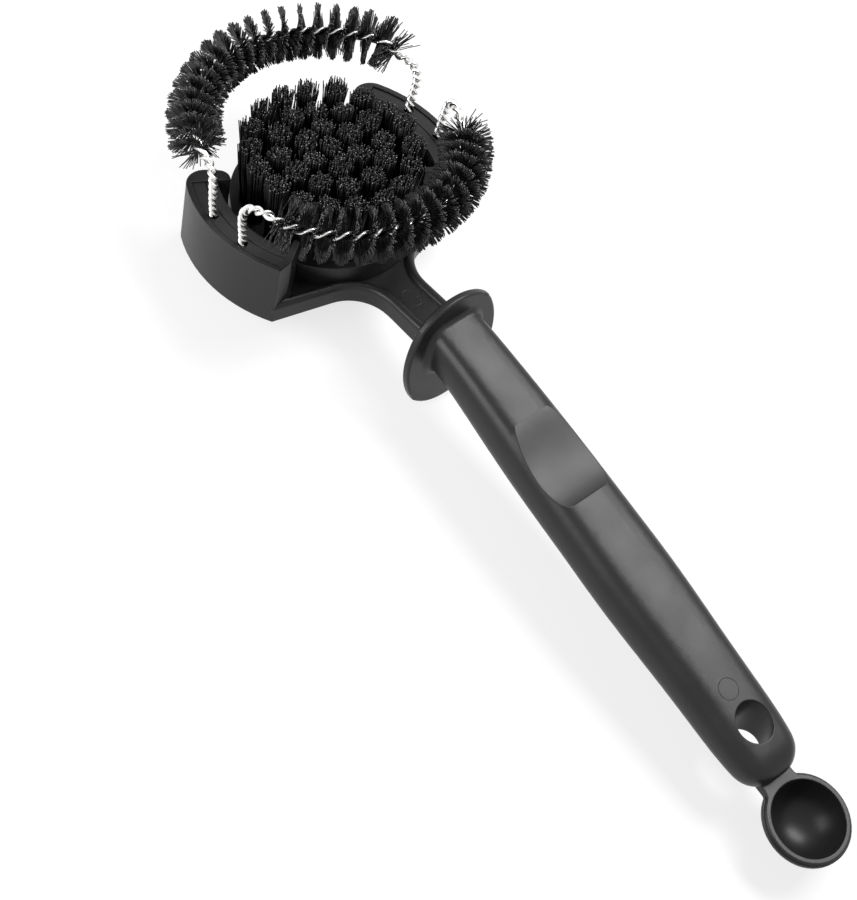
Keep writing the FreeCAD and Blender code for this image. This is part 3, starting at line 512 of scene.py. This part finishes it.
class BrushWireSettings(bpy.types.PropertyGroup):
    strand_radius: bpy.props.FloatProperty(
        name="Strand radius", description="Radius of one strand of the wire",
        default=0.00053, precision=5, unit="LENGTH")
    strand_offset: bpy.props.FloatProperty(
        name="Strand offset", description="Strand's middle to the middle of the pair",
        default=0.0006, precision=5, unit="LENGTH")
    leg_twist: bpy.props.FloatProperty(
        name="Leg twist", description="Length of one twist in a bare leg",
        default=0.0039, precision=4, unit="LENGTH")
    ring_twist: bpy.props.FloatProperty(
        name="Ring twist", description="Length of one twist among the bristles",
        default=0.0078, precision=4, unit="LENGTH")
    leg_lean: bpy.props.FloatProperty(
        name="Leg lean", description="How far a leg leans outwards",
        default=0.0011, precision=4, unit="LENGTH")
    far_radius: bpy.props.FloatProperty(
        name="Far loop", description="Radius of the loop at the tip",
        default=0.0321, precision=4, unit="LENGTH")
    far_rise: bpy.props.FloatProperty(
        name="Far rise", description="Far loop above the pods",
        default=0.0144, precision=4, unit="LENGTH")
    near_radius: bpy.props.FloatProperty(
        name="Near loop", description="Radius of the loop at the neck",
        default=0.0303, precision=4, unit="LENGTH")
    near_rise: bpy.props.FloatProperty(
        name="Near rise", description="Near loop above the pods",
        default=0.0117, precision=4, unit="LENGTH")
    bristle_reach: bpy.props.FloatProperty(
        name="Bristle reach", description="Length of the bristles from the core",
        default=0.0063, precision=4, unit="LENGTH")
    bristle_radius: bpy.props.FloatProperty(
        name="Bristle radius", description="Radius of one bristle",
        default=0.00013, precision=5, unit="LENGTH")
    bristle_density: bpy.props.FloatProperty(
        name="Bristles for each mm", description="Bristles on each side for each millimetre of the core",
        default=30.0, min=5.0, max=90.0)
    bristle_fan: bpy.props.FloatProperty(
        name="Bristle fan", description="Spread of the bristles about the twist",
        default=math.radians(5.5), subtype="ANGLE")
    sparse_end: bpy.props.FloatProperty(
        name="Sparse end", description="Length over which the bristles thin out at both ends of a loop",
        default=0.005, precision=4, unit="LENGTH")


class BrushColourSettings(bpy.types.PropertyGroup):
    moulding: bpy.props.FloatVectorProperty(
        name="Moulding", description="Black plastic of the handle and the pods",
        default=grey(0.013), size=4, subtype="COLOR", min=0, max=1)
    block: bpy.props.FloatVectorProperty(
        name="Block", description="Plastic of the tuft block",
        default=grey(0.012), size=4, subtype="COLOR", min=0, max=1)
    nylon_dark: bpy.props.FloatVectorProperty(
        name="Nylon", description="Darkest filament",
        default=grey(0.0025), size=4, subtype="COLOR", min=0, max=1)
    nylon_light: bpy.props.FloatVectorProperty(
        name="Nylon, light", description="Lightest filament",
        default=grey(0.008), size=4, subtype="COLOR", min=0, max=1)
    # Painted glint: a few cut ends are painted up to this light grey where they catch the light; the nylon
    # itself is black
    cut_end_glint: bpy.props.FloatVectorProperty(
        name="Cut end glints", description="Lightest cut end of a filament",
        default=grey(0.36), size=4, subtype="COLOR", min=0, max=1)
    steel: bpy.props.FloatVectorProperty(
        name="Steel", description="Stainless wire",
        default=grey(0.86, 0.01), size=4, subtype="COLOR", min=0, max=1)


class BrushStageSettings(bpy.types.PropertyGroup):
    key_power: bpy.props.FloatProperty(
        name="Key light", description="Power of the soft box over the brush",
        default=7.4, unit="POWER")
    side_power: bpy.props.FloatProperty(
        name="Side light", description="Power of the light on the left pod",
        default=1.6, unit="POWER")
    ambient: bpy.props.FloatProperty(
        name="Ambient", description="Strength of the even light from all round", default=0.15)


class BRUSH_OT_handle(bpy.types.Operator):
    """Build the handle's shell, whose thumb rest starts gently and ends in a steep ridge"""
    bl_idname = "brush.handle"
    bl_label = "Handle"

    # How close a corner lies to the cut's surface to belong to it
    TOUCH = 0.00003
    # Corners this close are one place of the mesh
    SAME_PLACE = 0.000001
    # Share of the small step at the cut's start that stays, so that its faces keep an area
    STEP_LEFT = 0.1
    # Most that a normal of the cut leans sideways, and least that one of the grip's sides does
    CUT_LEAN = 0.02
    SIDE_LEAN = 0.15

    def packed_scoop(self, station):
        """Height of the evenly curved cut above the grip's axis."""
        half = THUMB_LENGTH / 2
        radius = (half ** 2 + THUMB_DEPTH ** 2) / (2 * THUMB_DEPTH)
        away = station - THUMB_START - half
        return THUMB_TOP - THUMB_DEPTH + radius - np.sqrt(np.maximum(radius ** 2 - away ** 2, 0))

    def new_scoop(self, station, depth, gentle):
        """Height and slope of the thumb rest: a slow start, then deepest near its end."""
        share = np.clip((station - THUMB_START) / THUMB_LENGTH, 0, 1)
        deepest = gentle / (gentle + 1)
        most = deepest ** gentle * (1 - deepest)
        height = THUMB_TOP - depth * share ** gentle * (1 - share) / most
        rate = gentle * share ** (gentle - 1) * (1 - share) - share ** gentle
        return height, -depth * rate / most / THUMB_LENGTH

    def side_normals(self, points, corners, normals, facing, on_cut):
        """For each point, the summed sideways and upward part of the grip's side there, or zeros."""
        chosen = on_cut[corners] & (np.abs(normals[:, 0]) > self.SIDE_LEAN)
        places, group = np.unique(np.round(points / self.SAME_PLACE), axis=0, return_inverse=True)
        group = group.reshape(-1)
        sums = np.zeros((len(places), 2))
        for axis, values in enumerate((normals[:, 0], facing)):
            sums[:, axis] = np.bincount(group[corners[chosen]], values[chosen], len(places))
        return sums[group]

    def reshape(self, mesh, depth, gentle):
        """Move the cut's corners to the new scoop, along the grip's sides at its edges."""
        points = np.empty(len(mesh.vertices) * 3)
        mesh.vertices.foreach_get("co", points)
        points = points.reshape(-1, 3)
        corners = np.empty(len(mesh.loops), dtype=int)
        mesh.loops.foreach_get("vertex_index", corners)
        normals = np.empty(len(mesh.loops) * 3)
        mesh.corner_normals.foreach_get("vector", normals)
        normals = normals.reshape(-1, 3) @ HEAD_TURN
        facing = normals @ GRIP_UP
        from_start = (points - HEAD_SHIFT) @ HEAD_TURN - GRIP_START
        station, height = from_start @ GRIP_ALONG, from_start @ GRIP_UP
        past_start = station > THUMB_START - self.TOUCH
        before_end = station < THUMB_START + THUMB_LENGTH + self.TOUCH
        near = np.abs(height - self.packed_scoop(station)) < self.TOUCH
        on_cut = past_start & before_end & near

        new_height, slope = self.new_scoop(station, depth, gentle)
        rise = np.where(on_cut, new_height - height, 0.0)
        side = self.side_normals(points, corners, normals, facing, on_cut)
        on_edge = on_cut & (np.abs(side[:, 0]) > 0)
        across = np.zeros(len(points))
        across[on_edge] = -side[on_edge, 1] / side[on_edge, 0] * rise[on_edge]
        step = (np.abs(station - THUMB_START) < self.TOUCH) & (height > THUMB_TOP + self.TOUCH)
        rise[step] = (self.STEP_LEFT - 1) * (height[step] - THUMB_TOP)
        moved = rise[:, None] * GRIP_UP + across[:, None] * [1.0, 0.0, 0.0]
        mesh.vertices.foreach_set("co", (points + moved @ HEAD_TURN.T).ravel())

        scooped = on_cut[corners] & (np.abs(normals[:, 0]) < self.CUT_LEAN) & (facing > 0.5)
        normals[scooped] = unit_rows(GRIP_UP - GRIP_ALONG * slope[corners[scooped]][:, None])
        mesh.normals_split_custom_set((normals @ HEAD_TURN.T).tolist())

    def execute(self, context):
        settings = context.scene.brush_handle
        mesh = NODES["handle_moulding"].data.copy()
        mesh.name = "handle_shell"
        self.reshape(mesh, settings.thumb_depth, settings.thumb_start)
        mesh.materials.clear()
        mesh.materials.append(moulded_plastic("moulded_black", context.scene.brush_colours.moulding,
                                              roughness=0.36, shine=0.28, edge=0.0004))
        piece = new_object("handle_shell", mesh)
        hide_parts("handle_moulding")
        return {"FINISHED"}


class BRUSH_OT_ejector_marks(bpy.types.Operator):
    """Build the fine rings that the mould's ejector pins leave on the neck and the grip"""
    bl_idname = "brush.ejector_marks"
    bl_label = "Ejector marks"

    STEPS = 72
    # Height above the surface from which it is looked for
    REACH = 0.003

    def surface(self, tree, place, up):
        """Point and normal of the handle straight under a place."""
        point, normal = tree.ray_cast(place + up * self.REACH, -up)[:2]
        if point is None:
            raise RuntimeError("an ejector mark lies beside the handle")
        return point, normal

    def ring(self, tree, centre, radius, width, height):
        """Rows of three points round a low ridge that follows the surface: inside, top and outside."""
        up = self.surface(tree, centre, Vector((0.0, 0.0, 1.0)))[1]
        side = up.orthogonal().normalized()
        flank = up.cross(side)
        points = []
        for index in range(self.STEPS):
            angle = 2 * math.pi * index / self.STEPS
            way = side * math.cos(angle) + flank * math.sin(angle)
            for away, lift in ((-width / 2, -height), (0.0, height), (width / 2, -height)):
                points.append(self.surface(tree, centre + way * (radius + away), up)[0] + up * lift)
        return points

    def execute(self, context):
        settings = context.scene.brush_handle
        shell = bpy.data.objects["handle_shell"].data
        tree = BVHTree.FromPolygons([vertex.co for vertex in shell.vertices],
                                    [face.vertices for face in shell.polygons])
        marks = (
            (GRIP_MARK, settings.mark_radius),
            (NECK_MARK, settings.mark_radius),
            (SMALL_MARK, settings.mark_radius * SMALL_MARK_SHARE),
        )
        points, faces = [], []
        for centre, radius in marks:
            start = len(points)
            points += self.ring(tree, centre, radius, settings.mark_width, settings.mark_height)
            for index in range(self.STEPS):
                low = start + 3 * index
                high = start + 3 * ((index + 1) % self.STEPS)
                for edge in range(3):
                    after = (edge + 1) % 3
                    faces.append((low + edge, low + after, high + after, high + edge))
        mesh = bpy.data.meshes.new("ejector_marks")
        mesh.from_pydata([tuple(point) for point in points], [], faces)
        mesh.materials.append(moulded_plastic("mark_black", context.scene.brush_colours.moulding,
                                              roughness=0.36, shine=0.28))
        piece = new_object("ejector_marks", mesh)
        return {"FINISHED"}


class BRUSH_OT_mouldings(bpy.types.Operator):
    """Give the pieces pushed into the handle their black plastic, and the anchors their brass"""
    bl_idname = "brush.mouldings"
    bl_label = "Mouldings"

    def execute(self, context):
        colour = context.scene.brush_colours.block
        block = moulded_plastic("block_black", colour, roughness=0.42, shine=0.3, edge=0.0004)
        insert = moulded_plastic("insert_black", colour, roughness=0.38, shine=0.3, edge=0.0003)
        brass = metal("anchor_brass", (0.72, 0.58, 0.3, 1.0), roughness=0.35)
        finishes = {
            "tuft_block": block,
            "left_wire_block": insert,
            "right_wire_block": insert,
            "left_retaining_strip": insert,
            "right_retaining_strip": insert,
            "tuft_anchors": brass,
        }
        for node, material in finishes.items():
            mesh = NODES[node].data
            mesh.materials.clear()
            mesh.materials.append(material)
        return {"FINISHED"}


class BRUSH_OT_tufts(bpy.types.Operator):
    """Build the nylon tufts, filament by filament"""
    bl_idname = "brush.tufts"
    bl_label = "Tufts"

    SIDES = 5
    # Turn from one filament to the next, which spreads them evenly, and their depth in the block
    GOLDEN_ANGLE = 2.39996
    ROOT_DEPTH = 0.0008
    # Scatter of a filament's place in the tuft, as a share of its radius, and of its middle
    CELL_SCATTER = 0.035
    BEND_SCATTER = 0.00012
    # Share of the filaments that stray, and how far
    STRAY_SHARE = 0.07
    STRAY = 0.0006
    # Height lost at a tuft's edge, and scatter and limits of a filament's cut
    DOME = 0.0004
    CUT_SCATTER = 0.0003
    CUT_LIMITS = (-0.0011, 0.0004)
    # Scatter of a whole tuft's tip, of its slant and of its height, and the limits of the last two
    TUFT_DRIFT = 0.00012
    SLANT = 0.00045
    TUFT_HEIGHT_SCATTER = 0.0003
    SLANT_LIMITS = (-0.0015, 0.0008)
    # Most filaments are dark and few light; the few light cut ends are painted glints
    SHADE_POWER = 5

    def tuft_places(self, settings, ring):
        """Radius and angle of the tufts of one ring."""
        if ring == 0:
            return [(0.0, 0.0)]
        count = 6 * ring
        step = 2 * math.pi / count
        return [(ring * settings.ring_step, settings.turn + step * index) for index in range(count)]

    def tuft(self, settings, chance, ring, radius, angle):
        """Root, middle and tip of each filament of one tuft, and its shade."""
        def flat(scatter, rows=None):
            """A random shift across the head, one for the tuft or one for each row."""
            return chance.normal(0, scatter, 3 if rows is None else (rows, 3)) * [1, 1, 0]

        count = settings.filament_count
        outward = np.array([math.cos(angle), math.sin(angle), 0.0])
        foot = outward * radius
        spin = chance.uniform(0, 2 * math.pi)
        index = np.arange(count)
        spread = np.sqrt((index + 0.5) / count)
        around = index * self.GOLDEN_ANGLE + spin
        cell = np.stack([np.cos(around), np.sin(around), np.zeros(count)], axis=1) * spread[:, None]
        cell += flat(self.CELL_SCATTER, count)
        root = foot + cell * (settings.root_radius - settings.filament_radius)
        root[:, 2] = BLOCK_TOP - self.ROOT_DEPTH
        drift = flat(self.TUFT_DRIFT)
        tip = foot + outward * ring * settings.lean + drift
        tip = tip + cell * (settings.tip_radius - settings.filament_radius)
        tip += flat(settings.scatter, count)
        stray = chance.random(count) < self.STRAY_SHARE
        tip[stray] += flat(self.STRAY, stray.sum())
        cut = np.clip(chance.normal(0, self.CUT_SCATTER, count), *self.CUT_LIMITS)
        slant = cell @ flat(self.SLANT) + chance.normal(0, self.TUFT_HEIGHT_SCATTER)
        height = settings.length - self.DOME * spread ** 2 + cut + np.clip(slant, *self.SLANT_LIMITS)
        tip[:, 2] = BLOCK_TOP + height
        middle = (root + tip) / 2 + flat(self.BEND_SCATTER, count)
        return np.stack([root, middle, tip], axis=1), chance.random(count) ** self.SHADE_POWER

    def execute(self, context):
        settings = context.scene.brush_tufts
        colours = context.scene.brush_colours
        chance = np.random.default_rng(11)
        side = nylon("tuft_nylon", colours.nylon_dark, colours.nylon_light, roughness=0.34, shine=0.14)
        # The cut ends' material paints glints: a few ends light grey, as if they caught the light
        end = nylon("tuft_cut_end_glints", grey(0.006), colours.cut_end_glint, roughness=0.5, shine=0.12)
        for node, rings in {"tufts_inner": (0, 1), "tufts_middle": (2,), "tufts_outer": (3,)}.items():
            lines, shades = [], []
            for ring in rings:
                for radius, angle in self.tuft_places(settings, ring):
                    line, shade = self.tuft(settings, chance, ring, radius, angle)
                    lines.append(line)
                    shades.append(shade)
            piece = filaments(node + "_filaments", np.concatenate(lines), settings.filament_radius,
                              self.SIDES, (side, end), np.concatenate(shades))
            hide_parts(node)
        return {"FINISHED"}


class BRUSH_OT_wires(bpy.types.Operator):
    """Build the two strands of each wire loop"""
    bl_idname = "brush.wires"
    bl_label = "Wires"

    SIDES = 12
    # Length between two rings of a strand's corners
    STEP = 0.00019

    def strand(self, loop, start, settings, name):
        """A mesh of one strand, which turns about the loop's centre line from this angle."""
        levels = int(loop.lengths[-1] / self.STEP)
        centres, across, normals, tangents, twist = loop.at(np.linspace(0, loop.lengths[-1], levels))
        turn = (twist + start)[:, None]
        out = across * np.cos(turn) + normals * np.sin(turn)
        middle = centres + out * settings.strand_offset
        ring = circle_about(out, np.cross(tangents, out), self.SIDES) * settings.strand_radius
        points = (middle[:, None, :] + ring).reshape(-1, 3)
        faces = tube_quads([0], levels, self.SIDES).tolist()
        faces.append(list(range(self.SIDES))[::-1])
        faces.append([(levels - 1) * self.SIDES + index for index in range(self.SIDES)])
        mesh = bpy.data.meshes.new(name)
        mesh.from_pydata(to_row(points).tolist(), [], faces)
        mesh.polygons.foreach_set("use_smooth", [True] * len(faces))
        mesh.update()
        return mesh

    def execute(self, context):
        settings = context.scene.brush_wires
        steel = metal("stainless_wire", context.scene.brush_colours.steel, roughness=0.24)
        for side, loop in brush_loops(settings).items():
            for letter, start in (("a", 0.0), ("b", math.pi)):
                node = "%s_wire_%s" % (side, letter)
                mesh = self.strand(loop, start, settings, node + "_strand")
                mesh.materials.append(steel)
                piece = new_object(node + "_strand", mesh)
                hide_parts(node)
        return {"FINISHED"}


class BRUSH_OT_ring_bristles(bpy.types.Operator):
    """Build the bristles that the twisted wires hold"""
    bl_idname = "brush.ring_bristles"
    bl_label = "Ring bristles"

    SIDES = 3
    # Share of the bristles at the very end of a loop, and how much looser they are there
    LEAST_KEPT = 0.25
    END_LOOSENESS = 4.5
    # Scatter of a bristle's lean along the loop, and scatter and limits of its cut
    LEAN = 0.04
    CUT_SCATTER = 0.00022
    CUT_LIMITS = (-0.0008, 0.0004)
    # Radius at which the strands let go of a bristle, in strand radii
    PINCH = 1.1
    # Scatter of its bow, and where along the bristle that is
    BOW = 0.00014
    BOW_PLACE = 0.55
    # Most bristles are dark and few light; the few light cut ends are painted glints
    SHADE_POWER = 2

    def bristles(self, loop, start, settings, chance):
        """Centre, pinch, middle and tip of the bristles on one side of the twist, and their shades."""
        first, last = loop.bristled()
        count = int((last - first) * 1000 * settings.bristle_density)
        lengths = np.sort(chance.uniform(first, last, count))
        inside = np.clip(np.minimum(lengths - first, last - lengths) / settings.sparse_end, 0, 1)
        kept = chance.random(count) < self.LEAST_KEPT + (1 - self.LEAST_KEPT) * inside
        lengths, inside = lengths[kept], inside[kept]
        count = len(lengths)
        centres, across, normals, tangents, twist = loop.at(lengths)
        turn = twist + start
        straight = across * np.cos(turn)[:, None] + normals * np.sin(turn)[:, None]
        loose = 1 + self.END_LOOSENESS * (1 - inside)
        fan = (turn + chance.normal(0, 1, count) * loose * settings.bristle_fan)[:, None]
        out = across * np.cos(fan) + normals * np.sin(fan)
        way = unit_rows(out + tangents * (chance.normal(0, self.LEAN, count) * loose)[:, None])
        cut = np.clip(chance.normal(0, self.CUT_SCATTER, count), *self.CUT_LIMITS)[:, None]
        pinch = centres + straight * settings.strand_radius * self.PINCH
        tip = centres + way * (settings.bristle_reach + cut)
        bow = np.cross(tangents, out) * chance.normal(0, self.BOW, count)[:, None]
        middle = pinch * (1 - self.BOW_PLACE) + tip * self.BOW_PLACE + bow
        return np.stack([centres, pinch, middle, tip], axis=1), chance.random(count) ** self.SHADE_POWER

    def execute(self, context):
        settings = context.scene.brush_wires
        colours = context.scene.brush_colours
        chance = np.random.default_rng(29)
        side = nylon("ring_nylon", colours.nylon_dark, colours.nylon_light, roughness=0.3, shine=0.35)
        # The cut ends' material paints glints: some ends light grey, as if they caught the light
        end = nylon("ring_cut_end_glints", grey(0.01), colours.cut_end_glint, roughness=0.5, shine=0.3)
        for name, loop in brush_loops(settings).items():
            lines, shades = [], []
            for start in (math.pi / 2, -math.pi / 2):
                line, shade = self.bristles(loop, start, settings, chance)
                lines.append(line)
                shades.append(shade)
            piece = filaments(name + "_ring_filaments", np.concatenate(lines), settings.bristle_radius,
                              self.SIDES, (side, end), np.concatenate(shades))
            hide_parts(name + "_wire_bristles")
        return {"FINISHED"}


class BRUSH_OT_stage(bpy.types.Operator):
    """Set up the floor, the studio lights and the camera"""
    bl_idname = "brush.stage"
    bl_label = "Stage"

    def seen_rays(self, shader):
        """1 for the rays that show the background itself, directly, mirrored or through glass."""
        path = shader.node("ShaderNodeLightPath", output="Is Camera Ray")
        glossy = Signal(shader, path.socket.node.outputs["Is Glossy Ray"])
        clear = Signal(shader, path.socket.node.outputs["Is Transmission Ray"])
        return (path + glossy + clear).clamped()

    def floor(self):
        """Plain pale paper, which looks white and keeps the brush's shadow."""
        mesh = bpy.data.meshes.new("studio_floor")
        signs = ((-1, -1), (1, -1), (1, 1), (-1, 1))
        corners = [(FLOOR_REACH * x, FLOOR_REACH * y, -FLOOR_GAP) for x, y in signs]
        mesh.from_pydata(corners, [], [(0, 1, 2, 3)])
        floor = bpy.data.objects.new("studio_floor", mesh)
        bpy.context.scene.collection.objects.link(floor)
        shader = new_material("studio_floor")
        seen = self.seen_rays(shader)
        paper = shader.node("ShaderNodeBsdfDiffuse", {}, {"Color": grey(FLOOR_PAPER)})
        veil = shader.node("ShaderNodeBsdfDiffuse", {}, {"Color": grey(FLOOR_VEIL)})
        glow = shader.node("ShaderNodeEmission", {}, {"Color": grey(1.0), "Strength": FLOOR_GLOW})
        near = shader.node("ShaderNodeAddShader", {}, {0: veil, 1: glow})
        far = shader.node("ShaderNodeEmission", {}, {"Color": grey(1.0), "Strength": 1.0})
        close = shader.distance_to(shader.place(), (0.0, 0.0, 0.0)).fade(*FLOOR_FADE)
        white = shader.node("ShaderNodeMixShader", {}, {0: close, 1: far, 2: near})
        shader.surface(shader.node("ShaderNodeMixShader", {}, {0: seen, 1: paper, 2: white}))
        mesh.materials.append(shader.owner)

    def world(self, ambient):
        """Even light from all round, in front of which the background looks white."""
        world = bpy.data.worlds.new("studio")
        bpy.context.scene.world = world
        shader = Shader(world)
        seen = self.seen_rays(shader)
        light = shader.node("ShaderNodeBackground", {}, {"Color": grey(1.0), "Strength": ambient})
        white = shader.node("ShaderNodeBackground", {}, {"Color": grey(1.0), "Strength": 1.0})
        mixed = shader.node("ShaderNodeMixShader", {}, {0: seen, 1: light, 2: white})
        shader.node("ShaderNodeOutputWorld", {}, {"Surface": mixed})

    def soft_box(self, name, place, aim, width, height, power):
        """A rectangular lamp that points at a place."""
        light = bpy.data.lights.new(name, "AREA")
        light.shape = "RECTANGLE"
        light.size = width
        light.size_y = height
        light.energy = power
        lamp = bpy.data.objects.new(name, light)
        lamp.location = place
        lamp.rotation_euler = (Vector(aim) - Vector(place)).to_track_quat("-Z", "Y").to_euler()
        bpy.context.scene.collection.objects.link(lamp)

    def camera(self):
        """The camera from which the brush is shown."""
        data = bpy.data.cameras.new("camera")
        data.sensor_fit = "HORIZONTAL"
        data.sensor_width = 36.0
        data.lens = CAMERA_LENS
        data.clip_start = 0.01
        camera = bpy.data.objects.new("camera", data)
        axes = Matrix((CAMERA_RIGHT, CAMERA_UP, CAMERA_RIGHT.cross(CAMERA_UP))).transposed().to_4x4()
        camera.matrix_world = HEAD_TO_ROW @ Matrix.Translation(CAMERA_PLACE) @ axes
        bpy.context.scene.collection.objects.link(camera)
        bpy.context.scene.camera = camera

    def execute(self, context):
        settings = context.scene.brush_stage
        self.floor()
        self.world(settings.ambient)
        self.soft_box("key_box", place=(0.42, 0.06, 0.72), aim=(0.0, -0.02, 0.02),
                      width=0.6, height=0.3, power=settings.key_power)
        self.soft_box("side_box", place=(-0.34, 0.18, 0.2), aim=HEAD_ORIGIN,
                      width=0.3, height=0.25, power=settings.side_power)
        self.camera()
        context.scene.view_settings.view_transform = "Standard"
        return {"FINISHED"}


class BRUSH_PT_sidebar(bpy.types.Panel):
    """Sizes, colours and build buttons of the brush"""
    bl_idname = "BRUSH_PT_sidebar"
    bl_label = "Cleaning brush"
    bl_space_type = "VIEW_3D"
    bl_region_type = "UI"
    bl_category = "Cleaning brush"

    def draw(self, context):
        groups = (
            ("brush_colours", ("brush.mouldings",)),
            ("brush_handle", ("brush.handle", "brush.ejector_marks")),
            ("brush_tufts", ("brush.tufts",)),
            ("brush_wires", ("brush.wires", "brush.ring_bristles")),
            ("brush_stage", ("brush.stage",)),
        )
        for name, operators in groups:
            box = self.layout.box()
            settings = getattr(context.scene, name)
            for field in settings.bl_rna.properties:
                if field.identifier not in ("rna_type", "name"):
                    box.prop(settings, field.identifier)
            for operator in operators:
                box.operator(operator)


SETTINGS = {
    "brush_handle": BrushHandleSettings,
    "brush_tufts": BrushTuftSettings,
    "brush_wires": BrushWireSettings,
    "brush_colours": BrushColourSettings,
    "brush_stage": BrushStageSettings,
}
TOOLS = (BRUSH_OT_handle, BRUSH_OT_ejector_marks, BRUSH_OT_mouldings, BRUSH_OT_tufts, BRUSH_OT_wires,
         BRUSH_OT_ring_bristles, BRUSH_OT_stage, BRUSH_PT_sidebar)


def register():
    """Register the settings, the operators and the panel."""
    for name, settings in SETTINGS.items():
        bpy.utils.register_class(settings)
        setattr(bpy.types.Scene, name, bpy.props.PointerProperty(type=settings))
    for tool in TOOLS:
        bpy.utils.register_class(tool)


def unregister():
    """Remove them again."""
    for tool in reversed(TOOLS):
        bpy.utils.unregister_class(tool)
    for name, settings in SETTINGS.items():
        delattr(bpy.types.Scene, name)
        bpy.utils.unregister_class(settings)


def main():
    """Build the whole scene."""
    register()
    bpy.ops.brush.stage()
    bpy.ops.brush.handle()
    bpy.ops.brush.ejector_marks()
    bpy.ops.brush.mouldings()
    bpy.ops.brush.tufts()
    bpy.ops.brush.wires()
    bpy.ops.brush.ring_bristles()


if __name__ == "__main__":
    main()
